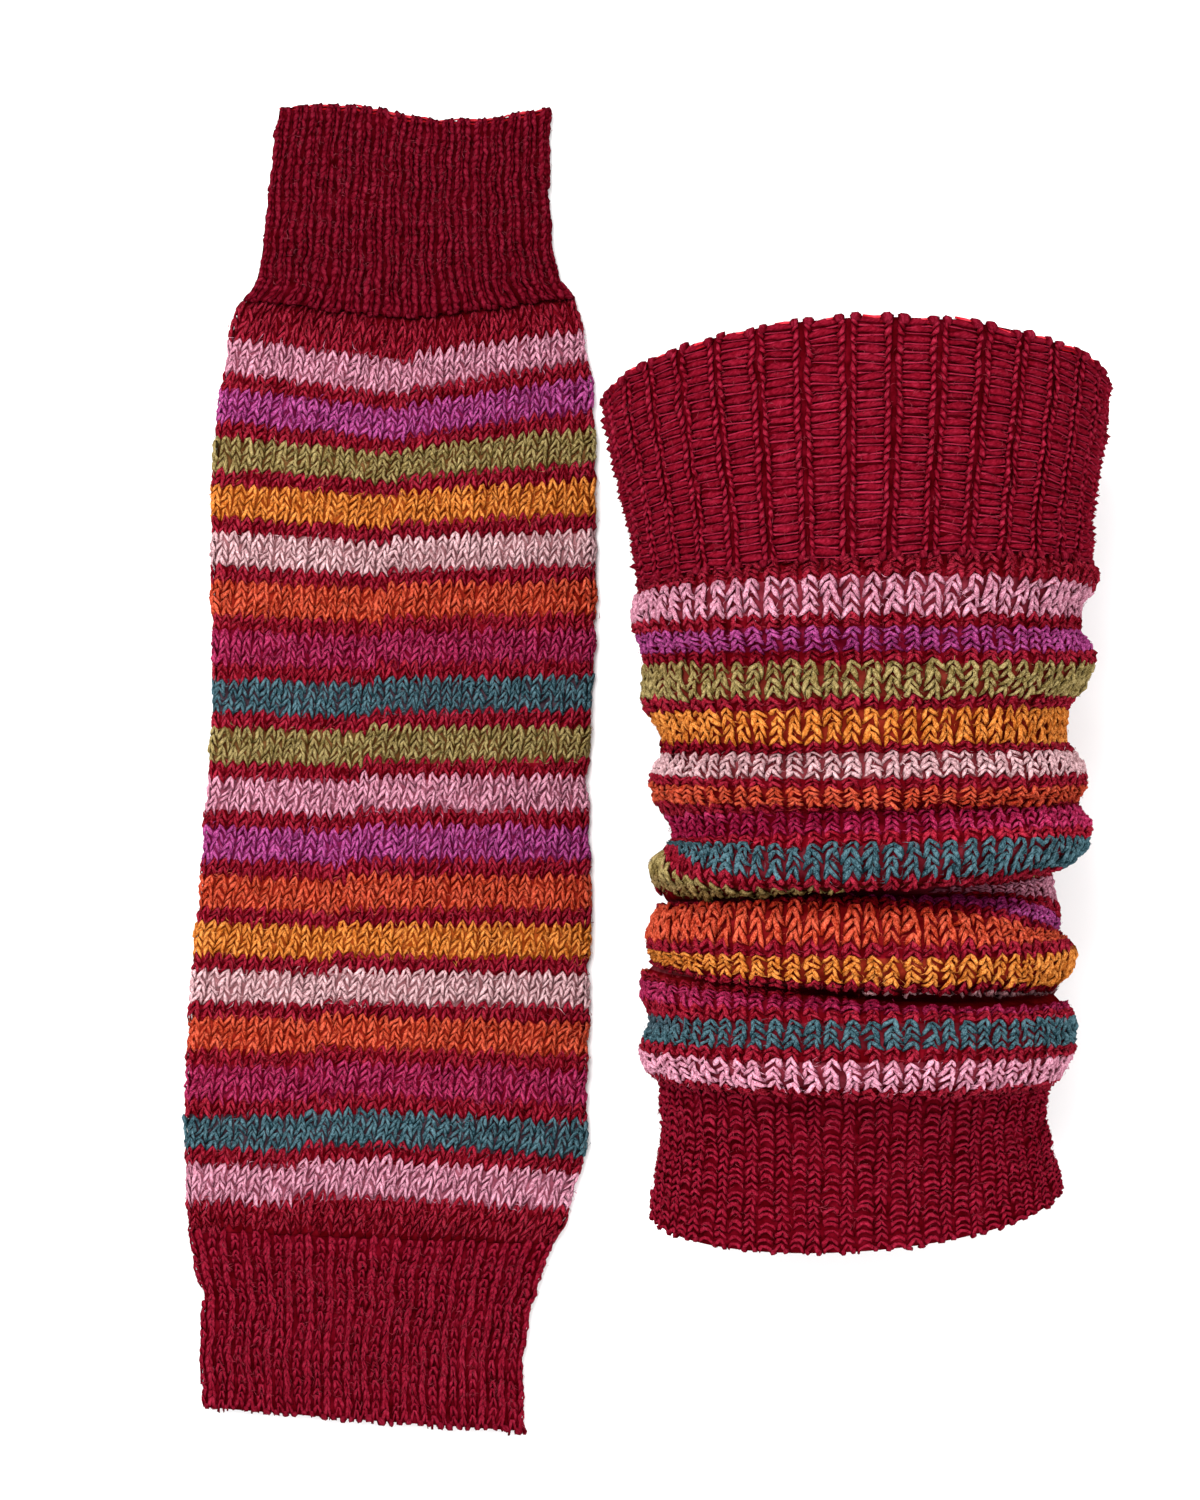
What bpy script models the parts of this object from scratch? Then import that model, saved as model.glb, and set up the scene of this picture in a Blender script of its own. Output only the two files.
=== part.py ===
"""A pair of knitted leg warmers on a surface, +Y towards their upper cuffs and +Z up.

The one at -X lies flat, its front and back on each other. The one at +X is filled out: an open
tube on its back, with the folds of a leg warmer that is pushed down. Each is knitted in the round
as an upper ribbed cuff, a plain leg and a lower ribbed cuff. Tables and sizes are in millimetres.
"""

from collections import namedtuple

import bmesh
import bpy
import numpy as np

MM = 0.001
WALL = 2.0  # thickness of the knitted cloth
SEAM_GAP = 0.3
RIBS = 34  # ribs round each cuff, one for every second column of stitches
POINTS_PER_RIB = 3
RIB_CREST = (1.0, 0.0, 1.0)  # every third line of points is a groove between two flat-topped ribs
RIB_HEIGHT = 0.8
RIB_CLEAR, RIB_FADE = 2.0, 6.0  # height at which ribs start, and over which they rise
LEG_POINTS = 48  # points round the filled-out leg
EDGE_TURNS = (-60, -20, 20, 60)  # degrees, the points that turn a flat leg warmer's side edge
FLAT_BACK_POINTS = 12
FLAT_LEG_POINTS = 20
SQUASH = 1.08  # how far the filled-out tube would bulge below the surface it is pressed on
WIDEST_AT = 0.48  # height of the tube's widest line, as a share of its height
LEAST_STEP = 0.2  # each ring lies at least this far below the one before it
SIDE_ROUNDING = 0.12  # softens the turn of a ring's edge line at the tube's two sides

LAID_X, FILLED_X = -74.05, 62.65  # centre line of each leg warmer
LAID_TOP_Y, FILLED_TOP_Y = 199.15, 132.15  # where the distances down from the upper rim start

CUFF_RED = (0.19, 0.012, 0.03)
LEG_RED = (0.24, 0.02, 0.04)
WOOL_ROUGHNESS = 0.9

# One line of stitches round the tube. The three distances down from the upper rim are at its left
# side, the middle of its front and its right side. left and right are from the centre line. top
# and low are its greatest and least heights, and back is how much the line bows at the back
# for each millimetre that it bows at the front.
Ring = namedtuple("Ring", "left_down middle_down right_down left right top low back wave", defaults=(0.0, 0.3, 0.0))

# The flat leg warmer bows the same at front and back. wave is how far its edge line swings.
LAID_UPPER_CUFF = (
    Ring(1.5, 4.2, 1.5, 35.4, 45.9, 5.0, 0, 1, 2.2),
    Ring(22.5, 24.3, 22.5, 37.5, 45.3, 5.0, 0, 1, 1.2),
    Ring(43.5, 46.5, 43.5, 39.8, 46.7, 5.0, 0, 1, 0.4),
    Ring(53.1, 57.3, 52.5, 41.4, 48.6, 5.0, 0, 1, 0.0),
    Ring(58.5, 63.9, 57.9, 45.0, 52.8, 5.0, 0, 1, 0.0),
)
LAID_LEG = (
    Ring(58.5, 63.9, 57.9, 45.0, 52.8, 5.0, 0, 1),
    Ring(67.5, 73.2, 65.1, 48.3, 55.5, 5.9, 0, 1),
    Ring(76.5, 82.8, 74.1, 50.1, 56.4, 5.6, 0, 1),
    Ring(90.9, 94.5, 88.5, 52.5, 58.8, 5.2, 0, 1),
    Ring(105.3, 108.9, 104.1, 53.7, 59.4, 5.2, 0, 1),
    Ring(119.1, 121.8, 118.5, 54.9, 59.7, 5.2, 0, 1),
    Ring(148.5, 149.7, 147.9, 54.6, 59.7, 5.2, 0, 1),
    Ring(177.3, 178.2, 177.0, 54.2, 58.5, 5.2, 0, 1),
    Ring(206.4, 207.3, 206.7, 56.0, 57.0, 5.2, 0, 1),
    Ring(235.2, 236.1, 236.4, 58.4, 58.4, 5.2, 0, 1),
    Ring(264.3, 264.9, 265.5, 60.8, 57.6, 5.2, 0, 1),
    Ring(293.1, 293.1, 293.7, 62.4, 57.0, 5.2, 0, 1),
    Ring(307.8, 307.8, 311.7, 62.4, 57.0, 5.2, 0, 1),
    Ring(323.1, 322.5, 326.1, 62.4, 52.5, 5.6, 0, 1),
    Ring(330.9, 330.9, 333.3, 62.4, 50.7, 5.9, 0, 1),
    Ring(337.5, 339.9, 341.7, 61.4, 47.1, 5.0, 0, 1),
)
LAID_LOWER_CUFF = (
    Ring(337.5, 339.9, 341.7, 61.4, 47.1, 5.0, 0, 1),
    Ring(347.1, 348.9, 350.1, 59.7, 43.8, 5.0, 0, 1),
    Ring(358.5, 360.3, 362.1, 57.0, 40.2, 5.0, 0, 1),
    Ring(372.0, 374.1, 376.5, 58.1, 38.1, 5.0, 0, 1),
    Ring(390.3, 394.2, 397.5, 57.3, 38.1, 5.0, 0, 1),
)

FILLED_UPPER_CUFF = (
    Ring(24.8, 2.8, 20.3, 73.5, 73.2, 141.0, 0.0, 0.0),
    Ring(38.0, 19.8, 33.0, 71.5, 72.0, 138.0, 0.0, 0.0),
    Ring(51.3, 36.8, 45.7, 67.9, 69.9, 133.0, 0.0, 0.0),
    Ring(64.6, 53.7, 58.4, 64.9, 67.9, 127.0, 0.0, 0.1),
    Ring(77.8, 70.7, 71.1, 62.8, 68.1, 121.0, 0.8, 0.3),
)
# Crests of the folds have the greatest tops, and the tucks between them the lowest.
FILLED_LEG = (
    Ring(77.8, 70.7, 71.1, 62.8, 68.1, 121.0, 0.8),
    Ring(79.3, 73.4, 74.9, 63.1, 71.1, 123.5),
    Ring(81.4, 76.1, 78.7, 64.0, 69.0, 124.0),
    Ring(85.8, 81.9, 83.2, 65.5, 65.5, 125.5),
    Ring(89.9, 87.7, 87.6, 65.3, 64.9, 124.0),
    Ring(92.9, 90.9, 91.7, 64.0, 64.9, 122.0, 0.6),
    Ring(98.2, 98.1, 97.3, 61.4, 68.7, 120.0, 1.2),
    Ring(101.7, 101.3, 100.3, 61.4, 69.0, 122.0, 0.6),
    Ring(107.0, 106.5, 105.3, 62.0, 67.3, 124.5),
    Ring(112.4, 111.8, 110.3, 62.0, 63.4, 124.0),
    Ring(115.3, 114.4, 113.5, 60.2, 61.1, 121.5, 0.8),
    Ring(120.0, 119.9, 118.8, 56.9, 60.5, 123.0, 0.2),
    Ring(124.7, 125.1, 124.4, 56.3, 60.5, 122.0, 0.4),
    Ring(128.3, 127.1, 127.1, 56.1, 62.8, 120.5, 1.0),
    Ring(133.0, 132.9, 131.5, 59.3, 66.1, 122.5, 0.2),
    Ring(136.5, 137.8, 136.2, 59.9, 66.7, 123.5),
    Ring(140.7, 141.9, 140.1, 58.7, 64.9, 121.5, 0.8),
    Ring(143.0, 143.3, 142.1, 56.9, 63.4, 117.0, 2.0),
    Ring(147.1, 144.8, 144.2, 54.0, 65.2, 118.0, 1.6),
    Ring(153.0, 150.3, 148.9, 53.4, 67.9, 121.0, 0.6),
    Ring(155.4, 153.4, 151.3, 54.6, 68.1, 123.5),
    Ring(157.8, 157.8, 155.1, 57.5, 67.3, 125.5),
    Ring(160.1, 164.2, 158.4, 60.8, 62.8, 124.5),
    Ring(162.5, 166.2, 159.5, 60.5, 59.0, 120.5, 0.8),
    Ring(169.6, 167.0, 161.0, 58.7, 56.6, 114.5, 2.4),
    Ring(171.3, 167.6, 163.7, 57.2, 56.3, 111.0, 3.0),
    Ring(171.6, 168.2, 169.3, 56.9, 57.5, 110.0, 3.2),
    Ring(172.2, 169.1, 175.2, 57.5, 59.0, 112.5, 2.6),
    Ring(173.4, 171.1, 179.6, 58.4, 58.1, 117.5, 1.2),
    Ring(177.8, 176.3, 181.4, 60.5, 59.6, 123.0),
    Ring(183.1, 183.0, 183.1, 60.6, 61.7, 125.5),
    Ring(185.5, 188.2, 186.1, 59.9, 63.7, 125.5),
    Ring(188.4, 194.0, 191.4, 59.3, 62.2, 122.5, 0.4),
    Ring(189.6, 195.7, 193.7, 60.2, 59.3, 118.0, 1.6),
    Ring(190.2, 196.6, 196.1, 60.8, 57.5, 112.0, 2.6),
    Ring(190.8, 197.2, 197.6, 61.4, 58.1, 111.5, 2.8),
    Ring(191.7, 198.3, 199.1, 62.1, 59.6, 116.0, 1.8),
    Ring(197.3, 201.0, 201.4, 62.5, 61.4, 120.5, 0.6),
    Ring(205.5, 204.7, 204.4, 59.3, 63.1, 123.0),
    Ring(210.8, 210.9, 210.8, 61.4, 63.4, 125.0),
    Ring(215.0, 216.4, 215.0, 62.8, 63.1, 125.0),
    Ring(219.7, 223.0, 219.7, 61.1, 61.1, 122.5),
    Ring(221.8, 225.9, 222.6, 59.3, 58.4, 117.0, 1.2),
    Ring(222.9, 226.4, 224.1, 57.5, 56.9, 108.5, 2.4),
    Ring(223.8, 226.9, 225.0, 57.1, 56.6, 104.0, 2.6),
)
FILLED_LOWER_CUFF = (
    Ring(223.8, 226.9, 225.0, 57.1, 56.6, 104.0, 2.6, 0.3),
    Ring(237.7, 242.0, 235.6, 56.3, 55.2, 94.0, 0.5, 0.2),
    Ring(251.5, 257.2, 246.0, 58.3, 58.1, 90.0, 0.0, 0.1),
    Ring(264.5, 272.6, 256.3, 60.2, 61.1, 88.0, 0.0, 0.0),
)


def clear_scene():
    """Start from nothing, so that the file holds the leg warmers alone."""
    for thing in list(bpy.data.objects):
        bpy.data.objects.remove(thing, do_unlink=True)


def wool(name, colour):
    """A plain matt finish for one piece."""
    material = bpy.data.materials.new(name)
    material.use_nodes = True
    shader = material.node_tree.nodes["Principled BSDF"]
    shader.inputs["Base Color"].default_value = (*colour, 1)
    shader.inputs["Roughness"].default_value = WOOL_ROUGHNESS
    return material


def edge_line(ring, across, front):
    """Distance down from the upper rim for points at across (-1 left side, 1 right side).

    front is 1 at the middle of the front, 0 at the sides and -1 at the middle of the back.
    """
    sides = (ring.left_down + ring.right_down) / 2
    slope = (ring.right_down - ring.left_down) / 2
    bow = ring.middle_down - sides
    bow = np.where(front >= 0, bow, bow * ring.back)
    rounded = np.sqrt(front**2 + SIDE_ROUNDING**2) - SIDE_ROUNDING
    full = np.sqrt(1 + SIDE_ROUNDING**2) - SIDE_ROUNDING
    return sides + slope * across + bow * rounded / full


def flat_across(ring, front_points, inset):
    """One closed line round a flat leg warmer, as x and z, inset from its outer face.

    It runs along the underside to the right, round the side edge, back over the front to the
    left and round the other edge.
    """
    radius = (ring.top - ring.low) / 2
    middle = ring.low + radius
    radius_in = radius - inset
    right, left = ring.right - radius, -ring.left + radius
    turns = np.radians(EDGE_TURNS)
    back_x = np.linspace(left, right, FLAT_BACK_POINTS)
    front_x = np.linspace(right, left, front_points)
    x = np.concatenate([back_x, right + radius_in * np.cos(turns), front_x, left - radius_in * np.cos(turns)])
    z = np.concatenate([
        np.full(len(back_x), middle - radius_in),
        middle + radius_in * np.sin(turns),
        np.full(len(front_x), middle + radius_in),
        middle - radius_in * np.sin(turns),
    ])
    return x, z


def flat_piece(rings, ribbed):
    """Outer and inner points of a piece of the flat leg warmer, one row for each ring."""
    front_points = RIBS // 2 * POINTS_PER_RIB + 1 if ribbed else FLAT_LEG_POINTS
    rib = np.resize(RIB_CREST, front_points) * RIB_HEIGHT if ribbed else np.zeros(front_points)
    first = FLAT_BACK_POINTS + len(EDGE_TURNS)
    walls = []
    for inset in (0.0, WALL):
        rows = []
        for ring in rings:
            x, z = flat_across(ring, front_points, inset)
            if inset == 0:
                z[first:first + front_points] += rib
            half = (ring.left + ring.right) / 2
            across = (x - (ring.right - ring.left) / 2) / half
            down = edge_line(ring, across, 1 - across**2)
            down = down - ring.wave * np.sin(np.pi * (across + 1))
            rows.append(np.stack([x + LAID_X, LAID_TOP_Y - down, z], axis=1))
        walls.append(np.array(rows))
    return walls


def round_section(ring, count):
    """One closed line round the filled-out tube, its points spaced evenly round it.

    Gives x, z and the two shares that edge_line reads. The line starts in the middle of the
    underside, which is flat where it rests, and runs round by the right side. In front the
    points keep to the centre line, so that the ribs run straight down the tube.
    """
    turn = np.linspace(0, 2 * np.pi, 721) - np.pi / 2
    across, front = np.cos(turn), np.sin(turn)
    half = (ring.left + ring.right) / 2
    widest = ring.low + (ring.top - ring.low) * WIDEST_AT
    x = (ring.right - ring.left) / 2 + half * across
    below = (widest - ring.low) * SQUASH
    z = widest + np.where(front > 0, (ring.top - widest) * front, below * front)
    z = np.maximum(z, ring.low)
    run = np.concatenate([[0], np.cumsum(np.hypot(np.diff(x), np.diff(z)))])
    share = np.linspace(0, 1, count, endpoint=False)
    off_centre = (ring.right - ring.left) / 2 / run[-1]
    share = share + off_centre * (1 - np.cos(2 * np.pi * share)) / 2
    return tuple(np.interp(share * run[-1], run, line) for line in (x, z, across, front))


def outward(points):
    """For each line of points along the tube, the direction out of it, square to its length."""
    around = (np.roll(points, -1, axis=1) - np.roll(points, 1, axis=1)).mean(axis=0)
    out = np.stack([around[:, 2], np.zeros(len(around)), -around[:, 0]], axis=1)
    return out / np.linalg.norm(out, axis=1, keepdims=True)


def inner_depth(down, height):
    """How far below each point of a line along the tube its inner wall lies.

    down and height are the line's own points. The inner wall keeps WALL away from every point
    of the line, so that the cloth is as thick on the steep sides of a fold as on its crest.
    """
    near = np.linspace(-WALL, WALL, 41)
    places = down[:, None] + near
    sampled = np.interp(places, down, height) - np.sqrt(WALL**2 - near**2)
    beyond = (places < down[0]) | (places > down[-1])
    return height - np.where(beyond, np.inf, sampled).min(axis=1)


def round_piece(rings, count, ribbed):
    """Outer and inner points of a piece of the filled-out leg warmer, one row for each ring."""
    rows = []
    last_down = np.zeros(count)
    for ring in rings:
        x, z, across, front = round_section(ring, count)
        down = np.maximum(edge_line(ring, across, front), last_down + LEAST_STEP)
        rows.append(np.stack([x + FILLED_X, FILLED_TOP_Y - down, z], axis=1))
        last_down = down
    outer = np.array(rows)
    out = outward(outer)
    height = (outer * out).sum(axis=2)
    depth = np.stack([inner_depth(-outer[:, j, 1], height[:, j]) for j in range(count)], axis=1)
    inner = outer - out * depth[:, :, None]
    inner[:, :, 2] = np.maximum(inner[:, :, 2], WALL)
    if ribbed:
        clear = np.clip((outer[:, :, 2:] - RIB_CLEAR) / RIB_FADE, 0, 1)
        crest = np.resize(RIB_CREST, count)[None, :, None]
        outer = outer + out * crest * clear * RIB_HEIGHT
    return [outer, inner]


def tube(name, walls, trim_top, trim_bottom, material):
    """Join the outer and inner points into one closed wall, open at both ends of the tube."""
    outer, inner = (wall.copy() for wall in walls)
    for wall in (outer, inner):
        wall[0, :, 1] -= trim_top
        wall[-1, :, 1] += trim_bottom
    rows, count = outer.shape[:2]
    points = np.concatenate([outer.reshape(-1, 3), inner.reshape(-1, 3)]) * MM
    inside = rows * count

    def strip(first, second):
        return [
            (first + j, first + (j + 1) % count, second + (j + 1) % count, second + j)
            for j in range(count)
        ]

    faces = []
    for i in range(rows - 1):
        faces += strip(i * count, (i + 1) * count)
        faces += strip(inside + (i + 1) * count, inside + i * count)
    faces += strip(inside, 0)
    faces += strip((rows - 1) * count, inside + (rows - 1) * count)
    mesh = bpy.data.meshes.new(name)
    mesh.from_pydata(points.tolist(), [], faces)
    shell = bmesh.new()
    shell.from_mesh(mesh)
    bmesh.ops.recalc_face_normals(shell, faces=shell.faces)
    shell.to_mesh(mesh)
    shell.free()
    mesh.shade_smooth()
    mesh.materials.append(material)
    piece = bpy.data.objects.new(name, mesh)
    bpy.context.scene.collection.objects.link(piece)
    return piece


def rest_on_origin(pieces):
    """Move every mesh so that the middle of the pair's footprint is at the origin."""
    corners = np.array([vertex.co for piece in pieces for vertex in piece.data.vertices])
    low, high = corners.min(axis=0), corners.max(axis=0)
    shift = np.array([(low[0] + high[0]) / 2, (low[1] + high[1]) / 2, low[2]])
    for piece in pieces:
        for vertex in piece.data.vertices:
            vertex.co = [float(value) for value in np.array(vertex.co) - shift]


def build():
    clear_scene()
    half_gap = SEAM_GAP / 2
    cuff_points = RIBS * POINTS_PER_RIB
    parts = (
        ("laid_upper_cuff", flat_piece(LAID_UPPER_CUFF, True), 0, half_gap, CUFF_RED),
        ("laid_leg", flat_piece(LAID_LEG, False), half_gap, half_gap, LEG_RED),
        ("laid_lower_cuff", flat_piece(LAID_LOWER_CUFF, True), half_gap, 0, CUFF_RED),
        ("filled_upper_cuff", round_piece(FILLED_UPPER_CUFF, cuff_points, True), 0, half_gap, CUFF_RED),
        ("filled_leg", round_piece(FILLED_LEG, LEG_POINTS, False), half_gap, half_gap, LEG_RED),
        ("filled_lower_cuff", round_piece(FILLED_LOWER_CUFF, cuff_points, True), half_gap, 0, CUFF_RED),
    )
    pieces = [
        tube(name, walls, trim_top, trim_bottom, wool(name, colour))
        for name, walls, trim_top, trim_bottom, colour in parts
    ]
    rest_on_origin(pieces)


build()
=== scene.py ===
# %% [markdown]
# # A pair of striped wool leg warmers, knitted stitch by stitch
#
# One leg warmer lies flat and the other is filled out, as on a leg. Both are knitted in the round.
# We make the cloth first, as a thin wall whose rings are its courses, the rows of stitches. Then
# Geometry Nodes lays one stitch on each crossing of a course and a wale, the column of stitches,
# and carries the flat knitting onto the cloth. A bump in a material could draw the stitches too, but
# they are large enough to cast shadows and to break up the outline, so each of them is modelled.
#
# We start from the plain solids of the same pair, so that both share one frame.

# %% Load the solids
from collections import namedtuple

import bpy
import numpy as np
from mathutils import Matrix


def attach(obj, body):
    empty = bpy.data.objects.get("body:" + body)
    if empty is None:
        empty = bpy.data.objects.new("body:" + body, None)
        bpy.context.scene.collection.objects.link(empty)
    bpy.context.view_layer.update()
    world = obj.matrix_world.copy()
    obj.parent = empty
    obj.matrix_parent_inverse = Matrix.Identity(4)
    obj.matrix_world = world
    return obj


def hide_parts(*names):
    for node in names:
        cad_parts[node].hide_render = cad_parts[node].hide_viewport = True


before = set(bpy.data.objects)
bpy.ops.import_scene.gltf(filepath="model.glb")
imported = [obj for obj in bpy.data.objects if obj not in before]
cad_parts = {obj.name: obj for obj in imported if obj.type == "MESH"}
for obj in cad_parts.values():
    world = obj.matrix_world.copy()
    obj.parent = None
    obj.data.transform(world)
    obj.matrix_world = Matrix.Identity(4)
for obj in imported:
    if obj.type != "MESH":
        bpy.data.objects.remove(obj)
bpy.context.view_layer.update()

# %% [markdown]
# ## The plan of the knitting
#
# Sizes are in millimetres and `MM` turns them into metres. Each stripe is four courses of one
# colour, and two courses of red lie between stripes. The stripes could be painted on, but here the
# number of a course is enough to tell its yarn, as it is for a knitter.

# %% Count the stitches and list the yarns
MM = 0.001
WALES = 68
RIBS = WALES // 2
LEG_COURSES = 114
FIRST_STRIPE, STRIPE, REPEAT = 4, 4, 6

YARNS = {
    "red": (130, 22, 38),
    "pink": (194, 130, 150),
    "purple": (153, 60, 118),
    "green": (138, 120, 74),
    "amber": (199, 118, 50),
    "pale pink": (200, 158, 162),
    "orange": (182, 69, 46),
    "magenta": (147, 36, 73),
    "teal": (63, 92, 101),
    "cuff": (122, 18, 37),
    # the cuff's red, painted brighter as a highlight on the strand that runs along the rim
    "cuff edge highlight": (205, 45, 58),
}
STRIPES = (
    "pink", "purple", "green", "amber", "pale pink", "orange", "magenta", "teal", "green",
    "pink", "purple", "orange", "amber", "pale pink", "orange", "magenta", "teal", "pink",
)


def light_of(name):
    """A yarn's colour as Blender's shaders count light, from its 0 to 255 values on a screen."""
    share = np.array(YARNS[name]) / 255
    return np.where(share <= 0.04045, share / 12.92, ((share + 0.055) / 1.055) ** 2.4)


def leg_yarn(course):
    """The yarn of one course of the leg, counted from its upper seam."""
    stripe, within = divmod(int(course) - FIRST_STRIPE, REPEAT)
    if course < FIRST_STRIPE or stripe >= len(STRIPES) or within >= STRIPE:
        return "red"
    return STRIPES[stripe]


print("courses 0 to 15:", [leg_yarn(c) for c in range(16)])

# %% [markdown]
# ## Where the courses lie
#
# A cloth simulation could press the one tube flat and push the other into folds, but it wouldn't
# put each stripe where it lies on the real pair. So we write down where the courses are.
#
# Each row of a table is one course. The three distances down from the upper rim are at its left
# side, the middle of its front and its right side. `left` and `right` are its sides from the
# centre line, `top` and `low` its heights, and `back` says how much it bows at the back for each
# millimetre that it bows at the front. `wave` lifts its left half and lowers its right half.

# %% Write down the courses of the leg warmer that lies flat
Course = namedtuple(
    "Course",
    "number left_down middle_down right_down left right top low back wave",
    defaults=(0.0, 0.3, 0.0),
)
LAID_X, FILLED_X = -74.05, 62.65
LAID_TOP_Y, FILLED_TOP_Y = 199.15, 132.15

LAID_UPPER_CUFF = (
    Course(0, 1.5, 4.2, 1.5, 34.8, 45.6, 5.0, 0, 1, 2.2),
    Course(9.5, 22.5, 24.3, 22.5, 37.5, 45.3, 5.0, 0, 1, 1.2),
    Course(19, 43.5, 46.5, 43.5, 39.8, 46.7, 5.0, 0, 1, 0.4),
    Course(23.5, 53.1, 57.3, 52.5, 41.4, 48.6, 5.2, 0, 1, 0.0),
    Course(26, 58.5, 63.9, 57.9, 45.0, 52.8, 5.8, 0, 1, 0.0),
)
LAID_LEG = (
    Course(0, 58.5, 63.9, 57.9, 45.0, 52.8, 4.0, 0, 1),
    Course(1.5, 62.5, 68.6, 61.9, 47.2, 54.6, 5.8, 0, 1),
    Course(4, 70.5, 77.1, 69.0, 49.3, 55.9, 5.9, 0, 1),
    Course(6, 75.0, 81.9, 73.2, 50.1, 56.4, 5.6, 0, 1),
    Course(12, 90.0, 96.0, 87.6, 52.6, 58.8, 5.2, 0, 1),
    Course(18, 104.4, 108.6, 103.2, 53.7, 59.4, 5.2, 0, 1),
    Course(24, 118.5, 121.8, 118.5, 54.9, 59.7, 5.2, 0, 1),
    Course(36, 147.6, 149.7, 148.5, 54.6, 59.7, 5.2, 0, 1),
    Course(48, 177.0, 178.2, 177.0, 54.2, 58.5, 5.2, 0, 1),
    Course(60, 206.4, 207.3, 207.3, 56.0, 57.0, 5.2, 0, 1),
    Course(72, 235.5, 237.6, 237.0, 58.4, 58.4, 5.2, 0, 1),
    Course(84, 263.4, 265.5, 266.1, 60.8, 57.6, 5.2, 0, 1),
    Course(96, 292.5, 293.1, 295.2, 62.4, 57.0, 5.2, 0, 1),
    Course(102, 307.5, 307.5, 311.1, 62.4, 57.0, 5.3, 0, 1),
    Course(108, 322.2, 322.5, 325.8, 62.4, 52.5, 5.6, 0, 1),
    Course(111, 331.2, 331.2, 334.2, 62.4, 50.5, 5.9, 0, 1),
    Course(114, 337.5, 339.9, 341.7, 61.4, 47.1, 5.0, 0, 1),
)
LAID_LOWER_CUFF = (
    Course(0, 337.5, 339.9, 341.7, 61.4, 47.1, 4.8, 0, 1),
    Course(4, 347.1, 348.9, 350.1, 59.7, 43.8, 5.0, 0, 1),
    Course(9, 358.5, 360.3, 362.1, 57.0, 40.2, 5.0, 0, 1),
    Course(14, 372.0, 374.1, 376.5, 58.1, 38.1, 5.0, 0, 1),
    Course(21, 390.3, 394.2, 397.5, 57.3, 38.1, 5.0, 0, 1),
)
print("flat leg warmer:", len(LAID_LEG), "courses written down for its leg")

# %% [markdown]
# The filled-out leg warmer is pushed down into folds. Its crests have the greatest tops, and in
# the tucks between them many courses lie close together, out of sight.

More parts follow.
